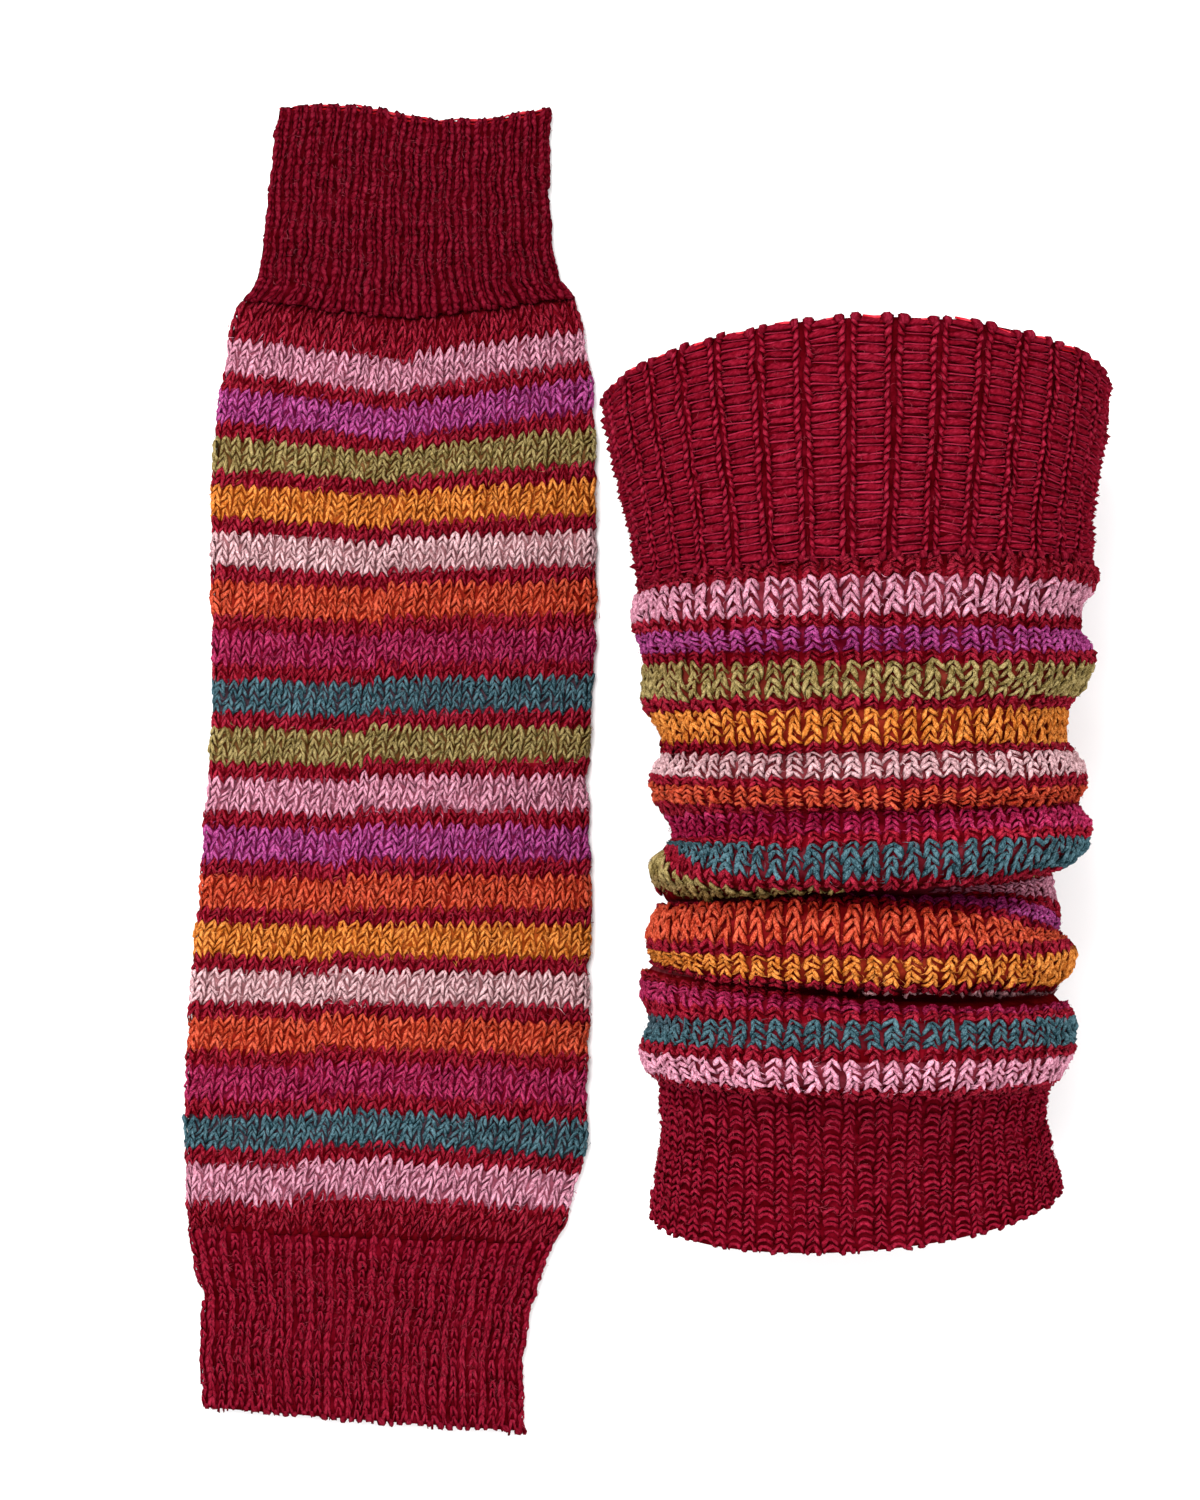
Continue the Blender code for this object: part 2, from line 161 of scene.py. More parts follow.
# %% Write down the courses of the leg warmer that is filled out
FILLED_UPPER_CUFF = (
    Course(0, 24.8, 2.8, 20.3, 73.5, 73.2, 141.0, 0.0, 0.0),
    Course(6.5, 38.0, 19.8, 33.0, 71.5, 72.0, 138.0, 0.0, 0.0),
    Course(13, 51.3, 36.8, 45.7, 67.9, 69.9, 133.0, 0.0, 0.0),
    Course(19.5, 64.6, 53.7, 58.4, 64.9, 67.9, 127.0, 0.0, 0.1),
    Course(26, 77.8, 70.7, 71.1, 62.8, 68.1, 120.5, 0.8, 0.3),
)
FILLED_LEG = (
    Course(0, 77.8, 70.7, 71.1, 62.8, 68.1, 120.5, 0.8),
    Course(2, 79.3, 73.4, 74.9, 63.1, 71.1, 123.5),
    Course(4, 81.4, 76.1, 78.7, 64.0, 69.0, 124.0),
    Course(6, 85.8, 81.9, 83.2, 65.5, 65.5, 125.5),
    Course(8, 89.9, 87.7, 87.6, 65.3, 64.9, 124.0),
    Course(10, 92.9, 90.9, 91.7, 64.0, 64.9, 122.0, 0.6),
    Course(14, 98.2, 98.1, 97.3, 61.4, 68.7, 120.0, 1.2),
    Course(16, 101.7, 101.3, 100.3, 61.4, 69.0, 122.0, 0.6),
    Course(18, 107.0, 106.5, 105.3, 62.0, 67.3, 124.5),
    Course(20, 112.4, 111.8, 110.3, 62.0, 63.4, 124.0),
    Course(22, 115.3, 114.4, 113.5, 60.2, 61.1, 121.5, 0.8),
    Course(24, 120.0, 119.9, 118.8, 56.9, 60.5, 123.0, 0.2),
    Course(26, 124.7, 125.1, 124.4, 56.3, 60.5, 122.0, 0.4),
    Course(28, 128.3, 127.1, 127.1, 56.1, 62.8, 120.5, 1.0),
    Course(31, 133.0, 132.9, 131.5, 59.3, 66.1, 122.5, 0.2),
    Course(34, 136.5, 137.8, 136.2, 59.9, 66.7, 123.5),
    Course(37.5, 140.7, 141.9, 140.1, 58.7, 64.9, 121.5, 0.8),
    Course(39, 143.0, 143.3, 142.1, 56.9, 63.4, 117.0, 2.0),
    Course(40.5, 147.1, 144.8, 144.2, 54.0, 65.2, 118.0, 1.6),
    Course(44, 153.0, 150.3, 148.9, 53.4, 67.9, 121.0, 0.6),
    Course(46, 155.4, 153.4, 151.3, 54.6, 68.1, 123.5),
    Course(48, 157.8, 157.8, 155.1, 57.5, 67.3, 125.5),
    Course(50, 160.1, 164.2, 158.4, 60.8, 62.8, 124.5),
    Course(51.5, 162.5, 166.2, 159.5, 59.6, 59.0, 120.5, 0.8),
    Course(55, 170.0, 167.0, 161.0, 57.0, 56.6, 114.5, 2.4),
    Course(58, 171.3, 167.6, 163.7, 56.0, 56.3, 111.0, 3.0),
    Course(62, 171.6, 168.2, 169.3, 55.7, 57.5, 110.0, 3.2),
    Course(67, 172.2, 169.1, 175.2, 56.2, 59.0, 112.5, 2.6),
    Course(70, 173.4, 171.1, 179.6, 57.4, 58.1, 117.5, 1.2),
    Course(72, 177.8, 176.3, 181.4, 60.5, 59.6, 123.0),
    Course(74, 183.1, 183.0, 183.1, 60.6, 61.7, 125.5),
    Course(77, 185.5, 188.2, 186.1, 59.9, 63.7, 125.5),
    Course(80, 188.4, 194.0, 191.4, 59.3, 62.2, 122.5, 0.4),
    Course(82, 189.6, 195.7, 193.7, 60.2, 59.3, 118.0, 1.6),
    Course(85, 190.2, 196.6, 196.1, 60.8, 57.5, 112.0, 2.6),
    Course(88, 190.8, 197.2, 197.6, 61.4, 58.1, 111.5, 2.8),
    Course(92, 191.7, 198.3, 199.1, 62.1, 59.6, 116.0, 1.8),
    Course(97, 197.3, 201.0, 201.4, 62.5, 61.4, 120.5, 0.6),
    Course(100, 205.5, 204.7, 204.4, 59.3, 63.1, 123.0),
    Course(103, 210.8, 210.9, 210.8, 61.4, 63.4, 125.0),
    Course(106, 215.0, 216.4, 215.0, 62.8, 63.1, 125.0),
    Course(109, 219.7, 223.0, 219.7, 61.1, 61.1, 122.5),
    Course(111, 221.8, 225.9, 222.6, 59.3, 58.4, 117.0, 1.2),
    Course(112.5, 222.9, 226.4, 224.1, 57.5, 56.9, 108.5, 2.4),
    Course(114, 223.8, 226.9, 225.0, 57.1, 56.6, 104.0, 2.6),
)
FILLED_LOWER_CUFF = (
    Course(0, 223.8, 226.9, 225.0, 57.1, 56.6, 104.0, 2.6, 0.3),
    Course(7, 237.7, 242.0, 235.6, 56.3, 55.2, 94.0, 0.5, 0.2),
    Course(14, 251.5, 257.2, 246.0, 58.3, 58.1, 90.0, 0.0, 0.1),
    Course(21, 264.5, 272.6, 256.3, 60.2, 61.1, 88.0, 0.0, 0.0),
)
print("filled-out leg warmer:", len(FILLED_LEG), "courses written down for its leg")

# %% [markdown]
# ## From a table to a grid of points
#
# `grid_of` makes one ring of points for each course that is asked for. Rings between two rows of
# a table are interpolated and lightly smoothed. Points lie evenly round a ring from the middle of
# the underside, by the right side and the front, and back by the left side.

# %% Turn the tables into rings of points
SQUASH = 1.08  # how far the filled-out tube would bulge below the surface it is pressed on
WIDEST_AT = 0.48  # height of the tube's widest line, as a share of its height
LEAST_STEP = 0.06  # each ring lies at least this far below the one before it
SIDE_ROUNDING = 0.12  # how softly a bow ends at the two sides of a ring
BLURS = 2  # how often the tables' columns are smoothed
OUTLINE_STEPS = 480  # points round the fine outline of a ring


def rows_at(table, numbers):
    """The table's columns at each course number, with the corners of their graphs rounded off."""
    known = np.array(table, float)
    rows = np.stack([np.interp(numbers, known[:, 0], column) for column in known[:, 1:].T], axis=1)
    for _ in range(BLURS):
        rows[1:-1] = (rows[:-2] + 2 * rows[1:-1] + rows[2:]) / 4
    return [Course(number, *row) for number, row in zip(numbers, rows)]


def outline(course, laid):
    """A fine closed outline of one ring, as x, z, and the two shares that place it along the tube."""
    half = (course.left + course.right) / 2
    middle = (course.right - course.left) / 2
    turn = np.linspace(0, 2 * np.pi, OUTLINE_STEPS + 1) - np.pi / 2
    if laid:
        radius = (course.top - course.low) / 2
        x = radius * np.cos(turn) + np.sign(np.cos(turn)) * (half - radius) * (np.abs(np.cos(turn)) > 1e-6)
        z = course.low + radius + radius * np.sin(turn)
        across = x / half
        return x + middle, z, across, 1 - across**2
    across, front = np.cos(turn), np.sin(turn)
    widest = course.low + (course.top - course.low) * WIDEST_AT
    z = widest + np.where(front > 0, (course.top - widest) * front, (widest - course.low) * SQUASH * front)
    return middle + half * across, np.maximum(z, course.low), across, front


def even_ring(course, laid, places):
    """x, z, across and front at each place, a share of the way round the ring."""
    x, z, across, front = outline(course, laid)
    run = np.concatenate([[0], np.cumsum(np.hypot(np.diff(x), np.diff(z)))])
    share = places - np.floor(places)
    if not laid:
        off_centre = (course.right - course.left) / 2 / run[-1]
        share = share + off_centre * (1 - np.cos(2 * np.pi * share)) / 2
    return [np.interp(share * run[-1], run, line) for line in (x, z, across, front)]


def distance_down(course, across, front):
    """How far below the upper rim the points of one ring lie."""
    sides = (course.left_down + course.right_down) / 2
    slope = (course.right_down - course.left_down) / 2
    bow = course.middle_down - sides
    bow = np.where(front >= 0, bow, bow * course.back)
    rounded = np.sqrt(front**2 + SIDE_ROUNDING**2) - SIDE_ROUNDING
    full = np.sqrt(1 + SIDE_ROUNDING**2) - SIDE_ROUNDING
    return sides + slope * across + bow * rounded / full - course.wave * np.sin(np.pi * (across + 1))


def grid_of(table, laid, numbers, places):
    """Points in millimetres, one row for each course number and one column for each place."""
    centre, top_y = (LAID_X, LAID_TOP_Y) if laid else (FILLED_X, FILLED_TOP_Y)
    rows, last = [], np.full(len(places), -1e9)
    for course in rows_at(table, numbers):
        x, z, across, front = even_ring(course, laid, places)
        last = np.maximum(distance_down(course, across, front), last + LEAST_STEP)
        rows.append(np.stack([x + centre, top_y - last, z], axis=1))
    return np.array(rows)


def outward(grid):
    """The outward direction at each point of a grid."""
    along, around = np.gradient(grid, axis=0), np.gradient(grid, axis=1)
    out = np.cross(around, along)
    return out / np.maximum(np.linalg.norm(out, axis=2, keepdims=True), 1e-9)


whole_leg = grid_of(FILLED_LEG, False, np.arange(0, LEG_COURSES + 1), np.linspace(0, 1, WALES + 1))
low, high = whole_leg.min(axis=(0, 1)), whole_leg.max(axis=(0, 1))
print("filled-out leg from", low.round(1), "to", high.round(1))

# %% [markdown]
# ## Six pieces of cloth
#
# One row for each piece says which solid it stands for, how many courses it has, and how wide and
# high one of its stitches is. `first` and `last` are the shares of the round between which stitches
# are laid. `under` is how far the wall lies below the surface that carries the stitches, `turn` how
# far a stitch may be turned, and `light` the painted light and shade that make one wool look lighter
# or darker on each piece. The ribs of the cuffs are raised in the cloth by `relief`. The courses of
# a tube climb by one course in each round, and `jog` is the wale where that step shows. On the flat
# leg the wales lean to the left by `drift` wales in each course. `red_behind` is how much red is mixed
# into the painted shade between a stripe's stitches.

# %% List the six pieces
Piece = namedtuple(
    "Piece",
    "node table laid courses wide high first last under turn light relief jog drift red_behind",
    defaults=(0.0, 0, 0.0, 0.0),
)
LAID, FILLED = True, False
# the light column is painted light and shade on each piece's wool
PIECES = (
    Piece("laid_upper_cuff", LAID_UPPER_CUFF, LAID, 26, 2.5, 2.3, 0.245, 0.745, 0.1, 0.08, 0.59, 0.25),
    Piece(
        "laid_leg", LAID_LEG, LAID, LEG_COURSES, 3.35, 2.42, 0.225, 0.775, 0.5, 0.2, 0.94,
        jog=32, drift=0.076, red_behind=0.35,
    ),
    Piece("laid_lower_cuff", LAID_LOWER_CUFF, LAID, 21, 2.9, 2.5, 0.245, 0.745, 0.3, 0.12, 0.85, 0.3),
    Piece("filled_upper_cuff", FILLED_UPPER_CUFF, FILLED, 26, 6.3, 2.65, 0.08, 0.92, 0.5, 0.06, 0.9, 0.9),
    Piece(
        "filled_leg", FILLED_LEG, FILLED, LEG_COURSES, 5.6, 2.6, 0.085, 0.915, 0.5, 0.3, 0.87,
        red_behind=0.8,
    ),
    Piece("filled_lower_cuff", FILLED_LOWER_CUFF, FILLED, 21, 4.7, 2.15, 0.08, 0.92, 0.4, 0.1, 0.95, 0.15),
)
RIB_PHASE = 1 / 3  # where the first groove lies, as a share of one rib
RIB_CLEAR, RIB_FADE = 2, 3  # height at which the ribs start, and over which they rise


def rib_relief(piece, places):
    """How far a ribbed cuff stands out at each place round it."""
    return piece.relief * (1 - np.cos(2 * np.pi * (places * RIBS - RIB_PHASE))) / 2


def carrier_grid(piece, numbers, places):
    """The surface that carries a piece's stitches, with its outward directions."""
    grid = grid_of(piece.table, piece.laid, numbers, places)
    out = outward(grid)
    clear = np.clip((grid[:, :, 2:] - RIB_CLEAR) / RIB_FADE, 0, 1)
    grid = grid + out * (rib_relief(piece, places)[None, :, None] * clear)
    return grid, outward(grid)


print([piece.node for piece in PIECES])

# %% [markdown]
# Knitted cloth has a thickness that shows at the rims. A Solidify modifier could give it one, but
# deep in a fold its inner side would cross itself. So we find the inner wall ourselves, and keep it
# at its distance from every point of the outer one. Where crests stand on both sides of a point it
# gets less light, and that becomes part of its tone.

# %% Find the inner wall and the light in the folds
CLOTH = 1.1  # thickness of the wall that backs the stitches
FOLD_REACH, FOLD_DEPTH = 10.0, 17.0  # how near a crest is, and how high, to shade a point fully
FOLD_SHADE = 0.75  # how much of its light such a point loses
REACH_STEPS = 21  # how many places near a point the inner wall is kept clear of


def straight_out(around):
    """The direction out of the tube at each place, from the way that its rings run there."""
    out = np.stack([around[:, 2], np.zeros(len(around)), -around[:, 0]], axis=1)
    return out / np.linalg.norm(out, axis=1, keepdims=True)


def inner_wall(outer):
    """The inner side of a wall that is CLOTH thick."""
    out = straight_out((np.roll(outer, -1, axis=1) - np.roll(outer, 1, axis=1)).mean(axis=0))
    height = (outer * out).sum(axis=2)
    near = np.linspace(-CLOTH, CLOTH, REACH_STEPS)
    cap = np.sqrt(CLOTH**2 - near**2)
    depth = np.zeros_like(height)
    for j in range(outer.shape[1]):
        down = -outer[:, j, 1]
        places = down[:, None] + near
        sampled = np.interp(places, down, height[:, j]) - cap
        beyond = (places < down[0]) | (places > down[-1])
        depth[:, j] = height[:, j] - np.where(beyond, np.inf, sampled).min(axis=1)
    inner = outer - out * depth[:, :, None]
    inner[:, :, 2] = np.maximum(inner[:, :, 2], CLOTH)
    return inner


def fold_light(grid):
    """The light that reaches each point: the less of it, the higher both crests beside it stand."""
    height = (grid * straight_out(np.gradient(grid, axis=1).mean(axis=0))).sum(axis=2)
    light = np.ones_like(height)
    for j in range(grid.shape[1]):
        ahead = grid[:, None, j, 1] - grid[None, :, j, 1]
        crests = [
            np.where((side >= 0) & (side < FOLD_REACH), height[None, :, j], -np.inf).max(axis=1)
            for side in (ahead, -ahead)
        ]
        depth = np.minimum(*crests) - height[:, j]
        light[:, j] = 1 - FOLD_SHADE * np.clip(depth / FOLD_DEPTH, 0, 1)
    return light


print("least light on the filled-out leg:", fold_light(whole_leg).min().round(2))

# %% [markdown]
# Three small helpers serve this step and all later ones. One puts meshes, lights and the camera in
# the scene, and remembers the patterns, the hidden objects that are taken away at the end. Two note
# named values on a mesh, because node trees and materials can read those later.

# %% Write the helpers
VALUE_NAMES = {"FLOAT": "value", "FLOAT_VECTOR": "vector", "FLOAT_COLOR": "color"}
patterns = []


def put_in_scene(name, data, pattern=False):
    """A new object in the scene. A pattern is hidden, and is removed at the end."""
    made = bpy.data.objects.new(name, data)
    bpy.context.scene.collection.objects.link(made)
    if pattern:
        made.hide_render = made.hide_viewport = True
        patterns.append(made)
    return made


def note(mesh, name, kind, values, domain="POINT"):
    """Keeps a named value on each point or corner of a mesh."""
    layer = mesh.attributes.new(name, kind, domain)
    layer.data.foreach_set(VALUE_NAMES[kind], np.asarray(values).astype(np.float32).ravel())


def note_yarn(mesh, colours, domain):
    """Keeps the yarn's colour, which every material reads."""
    opaque = np.hstack([colours, np.ones((len(colours), 1))])
    note(mesh, "yarn", "FLOAT_COLOR", opaque, domain)


print("kinds of value that can be noted:", list(VALUE_NAMES))

# %% [markdown]
# The wall of a tube is one closed mesh: an outer skin, a lining and the edges at its two ends. On
# its map the skin and the lining have one half each.

# %% Build a wall
SKIN_PAINTED_SHADE, LINING_PAINTED_SHADE = 0.66, 0.75  # painted shade on the wall, deeper behind the stitches than inside the tube
SKIN_CHART, LINING_CHART, CHART_WIDTH = 0.01, 0.51, 0.48  # the two halves of a wall's map
WALL_CHART, EDGE_CHART = (0.01, 0.94), (0.96, 0.01)  # where walls and edges start, and their height


def wall_mesh(name, outer, inner, skin_colours, lining_colours):
    """A closed wall from two grids, open at both ends of the tube. It keeps its own map."""
    rows, count = outer.shape[:2]
    inside, last = rows * count, (rows - 1) * count
    i, j = np.meshgrid(np.arange(rows - 1), np.arange(count), indexing="ij")
    a, b = i * count + j, i * count + (j + 1) % count
    k = np.arange(count)
    next_k = (k + 1) % count
    skin = np.stack([a, b, b + count, a + count], axis=-1).reshape(-1, 4)
    lining = (inside + np.stack([a, a + count, b + count, b], axis=-1)).reshape(-1, 4)
    top = np.stack([inside + k, inside + next_k, next_k, k], axis=1)
    bottom = np.stack([last + k, last + next_k, inside + last + next_k, inside + last + k], axis=1)
    points = np.concatenate([outer.reshape(-1, 3), inner.reshape(-1, 3)])
    mesh = bpy.data.meshes.new(name)
    mesh.from_pydata((points * MM).tolist(), [], np.concatenate([skin, lining, top, bottom]).tolist())

    def chart(left, field, across, along):
        low, height = field
        return np.stack([left + CHART_WIDTH * across / count, low + height * along], axis=-1).reshape(-1, 2)

    down = np.stack([i, i, i + 1, i + 1], axis=-1) / (rows - 1)
    up = np.stack([i, i + 1, i + 1, i], axis=-1) / (rows - 1)
    edge, side = np.stack([k, k + 1, k + 1, k], axis=1), np.tile([0.0, 0.0, 1.0, 1.0], (count, 1))
    fields = [
        chart(SKIN_CHART, WALL_CHART, np.stack([j, j + 1, j + 1, j], axis=-1), down),
        chart(LINING_CHART, WALL_CHART, np.stack([j, j, j + 1, j + 1], axis=-1), up),
        chart(SKIN_CHART, EDGE_CHART, edge, side),
        chart(LINING_CHART, EDGE_CHART, edge, side),
    ]
    layer = mesh.uv_layers.new(name="OFBake")
    layer.data.foreach_set("uv", np.concatenate(fields).astype(np.float32).ravel())
    walls = np.concatenate([skin_colours, lining_colours]).reshape(-1, 3)
    colours = np.concatenate([walls, lining_colours[0], lining_colours[-1]])
    note_yarn(mesh, np.repeat(colours, 4, axis=0), "CORNER")
    # painted shade on the skin behind the stitches, deeper still in the folds
    painted_skin_shade = SKIN_PAINTED_SHADE * fold_light(outer).ravel()
    note(mesh, "tone", "FLOAT", np.concatenate([painted_skin_shade, np.full(inside, LINING_PAINTED_SHADE)]))
    note(mesh, "flat", "FLOAT_VECTOR", points)
    mesh.shade_smooth()
    return put_in_scene(name, mesh)


# %% [markdown]
# The stripes don't follow the folds of the filled-out leg exactly. At the two ends of a fold the
# courses slip over its crest, so `SLIPS` gives how many courses further on the knitting is at the
# left and right ends. The courses of a tube also climb by one in each round. A few stripes catch
# more light where the leg is filled out, as `CATCH_LIGHT` says.

# %% Find the course and the yarn at each place
Slip = namedtuple("Slip", "number left right")
SLIPS = (
    Slip(0, 0, 0),
    Slip(44, 0, 0),
    Slip(46, 5.2, 0),
    Slip(52, 2.4, 0),
    Slip(54, 2.8, 0),
    Slip(56, 1.6, 1.0),
    Slip(58, 0, 0.6),
    Slip(62, 0, -0.8),
    Slip(67, 0, -3.4),
    Slip(70, 0, -2.6),
    Slip(72, 0, -2.0),
    Slip(73.2, 0, 0.8),
    Slip(75, 0, 0.7),
    Slip(77, 0, -0.7),
    Slip(80, 0, -1.5),
    Slip(84.5, 0, -3.6),
    Slip(88, 0, -2.2),
    Slip(92, 0, 0),
    Slip(114, 0, 0),
)
SLIP_REACH = 5  # the higher, the closer the slip stays to the two ends
CATCH_LIGHT = {6: 1.35, 15: 1.12, 17: 1.18}  # stripes by number that look brighter when filled out


def knitted_course(piece, numbers, places):
    """The course that shows at each point of a piece's grid of rings."""
    ring = np.repeat(np.array(numbers, float)[:, None], len(places), axis=1)
    if piece.node != "filled_leg":
        return ring
    known = np.array(SLIPS)
    across = np.sin(2 * np.pi * places)
    left = np.interp(numbers, known[:, 0], known[:, 1])
    right = np.interp(numbers, known[:, 0], known[:, 2])
    ring += left[:, None] * np.maximum(-across, 0) ** SLIP_REACH
    return ring + right[:, None] * np.maximum(across, 0) ** SLIP_REACH


def climb_of(piece, wale):
    """How many courses lower than the middle of its round a wale of the leg is."""
    return 0.0 if piece.relief else ((piece.jog - wale) % WALES) / WALES - 0.5


def yarn_of(piece, course):
    """The colour of one course in the light that its piece gets."""
    if piece.relief:
        return piece.light * light_of("cuff")
    stripe = (int(course) - FIRST_STRIPE) // REPEAT
    catch = 1.0 if piece.laid else CATCH_LIGHT.get(stripe, 1.0)
    return piece.light * catch * light_of(leg_yarn(course))


print("course 5 in each piece:", {piece.node: yarn_of(piece, 5).round(3).tolist() for piece in PIECES})

# %% [markdown]
# Between the stitches of a stripe lies painted shade, and it is dark red. So the skin is mixed
# with red, and the lining keeps the plain colours of its courses.

# %% Make the six cloths
def wall_colours(piece, count):
    """The yarn's colour on each face of a wall, for its outer skin and for its lining."""
    middles = (np.arange(count) + 0.5) / count
    shown = knitted_course(piece, np.arange(piece.courses) + 0.5, middles)
    climb = np.array([climb_of(piece, place * WALES) for place in middles])
    lining = np.array([[yarn_of(piece, round(c)) for c in row] for row in shown - climb - 0.5])
    # painted shade: red mixed into the skin between a stripe's stitches
    return lining * (1 - piece.red_behind) + light_of("red") * piece.red_behind, lining


cloths = {}
for piece in PIECES:
    count = 4 * RIBS if piece.relief else WALES
    places = np.arange(count) / count
    numbers = np.arange(0, piece.courses + 1.0)
    spread = np.concatenate([places[-2:] - 1, places, places[:2] + 1])
    grid, out = carrier_grid(piece, numbers, spread)
    outer = (grid - out * piece.under)[:, 2:-2]
    outer[:, :, 2] = np.maximum(outer[:, :, 2], 0.0)
    name = piece.node + "_cloth"
    cloths[piece.node] = wall_mesh(name, outer, inner_wall(outer), *wall_colours(piece, count))
    print(piece.node, len(cloths[piece.node].data.polygons), "faces")

# %% [markdown]
# ## The shapes that repeat
#
# A stitch is two slanted legs that meet at its top, as knitting looks when it is worked from the
# top down. A leg is a strand: rings of a few points along a path, closed at both ends. Paths are in
# millimetres, x across the wales, y down the courses and z out of the cloth. The attribute `tone`
# is painted shade on the ends of a strand, where it dives under its neighbours, and it paints some
# whole strands lighter or darker. The attribute `ply` winds round the strand along its length, so
# that the wool can be streaked by the plies it is spun from.
#
# A bevelled curve could make a strand as well. We set out its rings ourselves, because thousands of
# stitches need few faces each, and because every ring has values of its own.

# %% Model a strand
END_PAINTED_SHADE = 0.7  # painted shade on a strand's two ends, where they dive under the others
TWIST = 1.1  # radians by which the plies wind in each millimetre of strand
PLY_LENGTH = 0.55  # the lower, the longer the streaks along a strand


def strand(path, radii, tone=1.0, sides=4):
    """Points, faces, tones and plies of a round strand along a path, as thick as radii say.

    Its tones are painted light and shade: tone over the whole strand, and painted shade on its ends.
    """
    path, points, faces, plies = np.array(path, float), [], [], []
    run = np.concatenate([[0], np.cumsum(np.linalg.norm(np.diff(path, axis=0), axis=1))])
    for k, (centre, radius) in enumerate(zip(path, radii)):
        ahead = path[min(k + 1, len(path) - 1)] - path[max(k - 1, 0)]
        ahead /= np.linalg.norm(ahead)
        side = np.cross(ahead, (0, 0, 1))
        side /= np.linalg.norm(side)
        up = np.cross(side, ahead)
        for s in range(sides):
            turn = 2 * np.pi * s / sides + np.pi / 2
            points.append(centre + radius * (np.cos(turn) * side + np.sin(turn) * up))
            wound = turn + TWIST * run[k]
            plies.append((np.cos(wound), np.sin(wound), PLY_LENGTH * run[k]))
    for k in range(len(path) - 1):
        for s in range(sides):
            a, b = k * sides + s, k * sides + (s + 1) % sides
            faces.append((a, b, b + sides, a + sides))
    faces.append(tuple(range(sides - 1, -1, -1)))
    faces.append(tuple(range((len(path) - 1) * sides, len(path) * sides)))
    tones = np.full(len(path), tone)
    tones[[0, -1]] *= END_PAINTED_SHADE
    return np.array(points), faces, np.repeat(tones, sides), np.array(plies)


def joined(name, strands):
    """One pattern from several strands, to be repeated."""
    points, faces, tones, plies, start = [], [], [], [], 0
    for some_points, some_faces, some_tones, some_plies in strands:
        points.append(some_points)
        tones.append(some_tones)
        plies.append(some_plies)
        faces += [tuple(start + v for v in face) for face in some_faces]
        start += len(some_points)
    mesh = bpy.data.meshes.new(name)
    mesh.from_pydata(np.concatenate(points).tolist(), [], faces)
    mesh.shade_smooth()
    note(mesh, "tone", "FLOAT", np.concatenate(tones))
    note(mesh, "ply", "FLOAT_VECTOR", np.concatenate(plies))
    return put_in_scene(name, mesh, pattern=True)


print("a strand of two rings has", len(strand([(0, 0, 0), (0, 1, 0)], [0.5, 0.5])[1]), "faces")

# %% [markdown]
# A plain stitch is one strand, bent like a hairpin. The filled-out leg is stretched round, so its
# stitches are wider.

# %% Model the stitches of the legs
def stitch(wide, high, thick, neck, foot, lift):
    """One stitch as a single strand: up one leg, over its rounded top and down the other.

    neck and foot are how far from the middle of the wale the legs are near their top and at their
    end, as shares of its width.
    """
    right = [
        (neck * wide, -0.50 * high, lift),
        (0.5 * (neck + foot) * wide, 0.12 * high, lift),
        (foot * wide, 0.80 * high, -0.2),
    ]
    left = [(-x, y, z) for x, y, z in reversed(right)]
    radii = [0.4 * thick, 0.95 * thick, thick, 0.8 * thick, thick, 0.95 * thick, 0.4 * thick]
    return [strand(left + [(0.0, -0.92 * high, 0.3 * lift)] + right, radii)]


SIZES = {piece.node: (piece.wide, piece.high) for piece in PIECES}
stitches = {
    "laid_leg": stitch(*SIZES["laid_leg"], 0.52, neck=0.15, foot=0.50, lift=0.4),
    "filled_leg": stitch(*SIZES["filled_leg"], 0.76, neck=0.14, foot=0.47, lift=0.55),
}
print({node: len(strands[0][0]) for node, strands in stitches.items()}, "points in a stitch")

# %% [markdown]
# A rib is one column of knit stitches and one of purl. In a relaxed cuff the knit columns close up
# and hide the purl ones. In a cuff that is a little open, the purl columns show as arcs. In one that
# is stretched, a knit column spreads to both sides of a dark groove, and the purl column becomes a
# ladder, with one thin bar and one full bar to each course.

# %% Model the ribs of the cuffs
def relaxed_rib(wide, high, thick):
    """One knit stitch of a closed-up cuff: its two steep legs and the wool that fills them out."""
    left = [(-0.36, -0.90, 0.0), (-0.48, -0.40, 0.2), (-0.58, 0.20, 0.2), (-0.64, 0.85, 0.0)]
    right = [(0.34, -0.90, 0.0), (0.47, -0.40, 0.2), (0.62, 0.20, 0.2), (0.72, 0.80, 0.0)]
    middle = [(0.0, -0.80, 0.0), (0.06, 0.0, 0.15), (0.02, 0.80, 0.0)]
    scale = np.array((wide, high, 1))
    radii = [0.6 * thick, thick, thick, 0.6 * thick]
    # the middle strand's tone of 0.95 is a little painted shade
    return [
        strand(np.array(left) * scale, radii),
        strand(np.array(right) * scale, radii),
        strand(np.array(middle) * scale, [0.9 * thick, thick, 0.9 * thick], 0.95, 3),
    ]


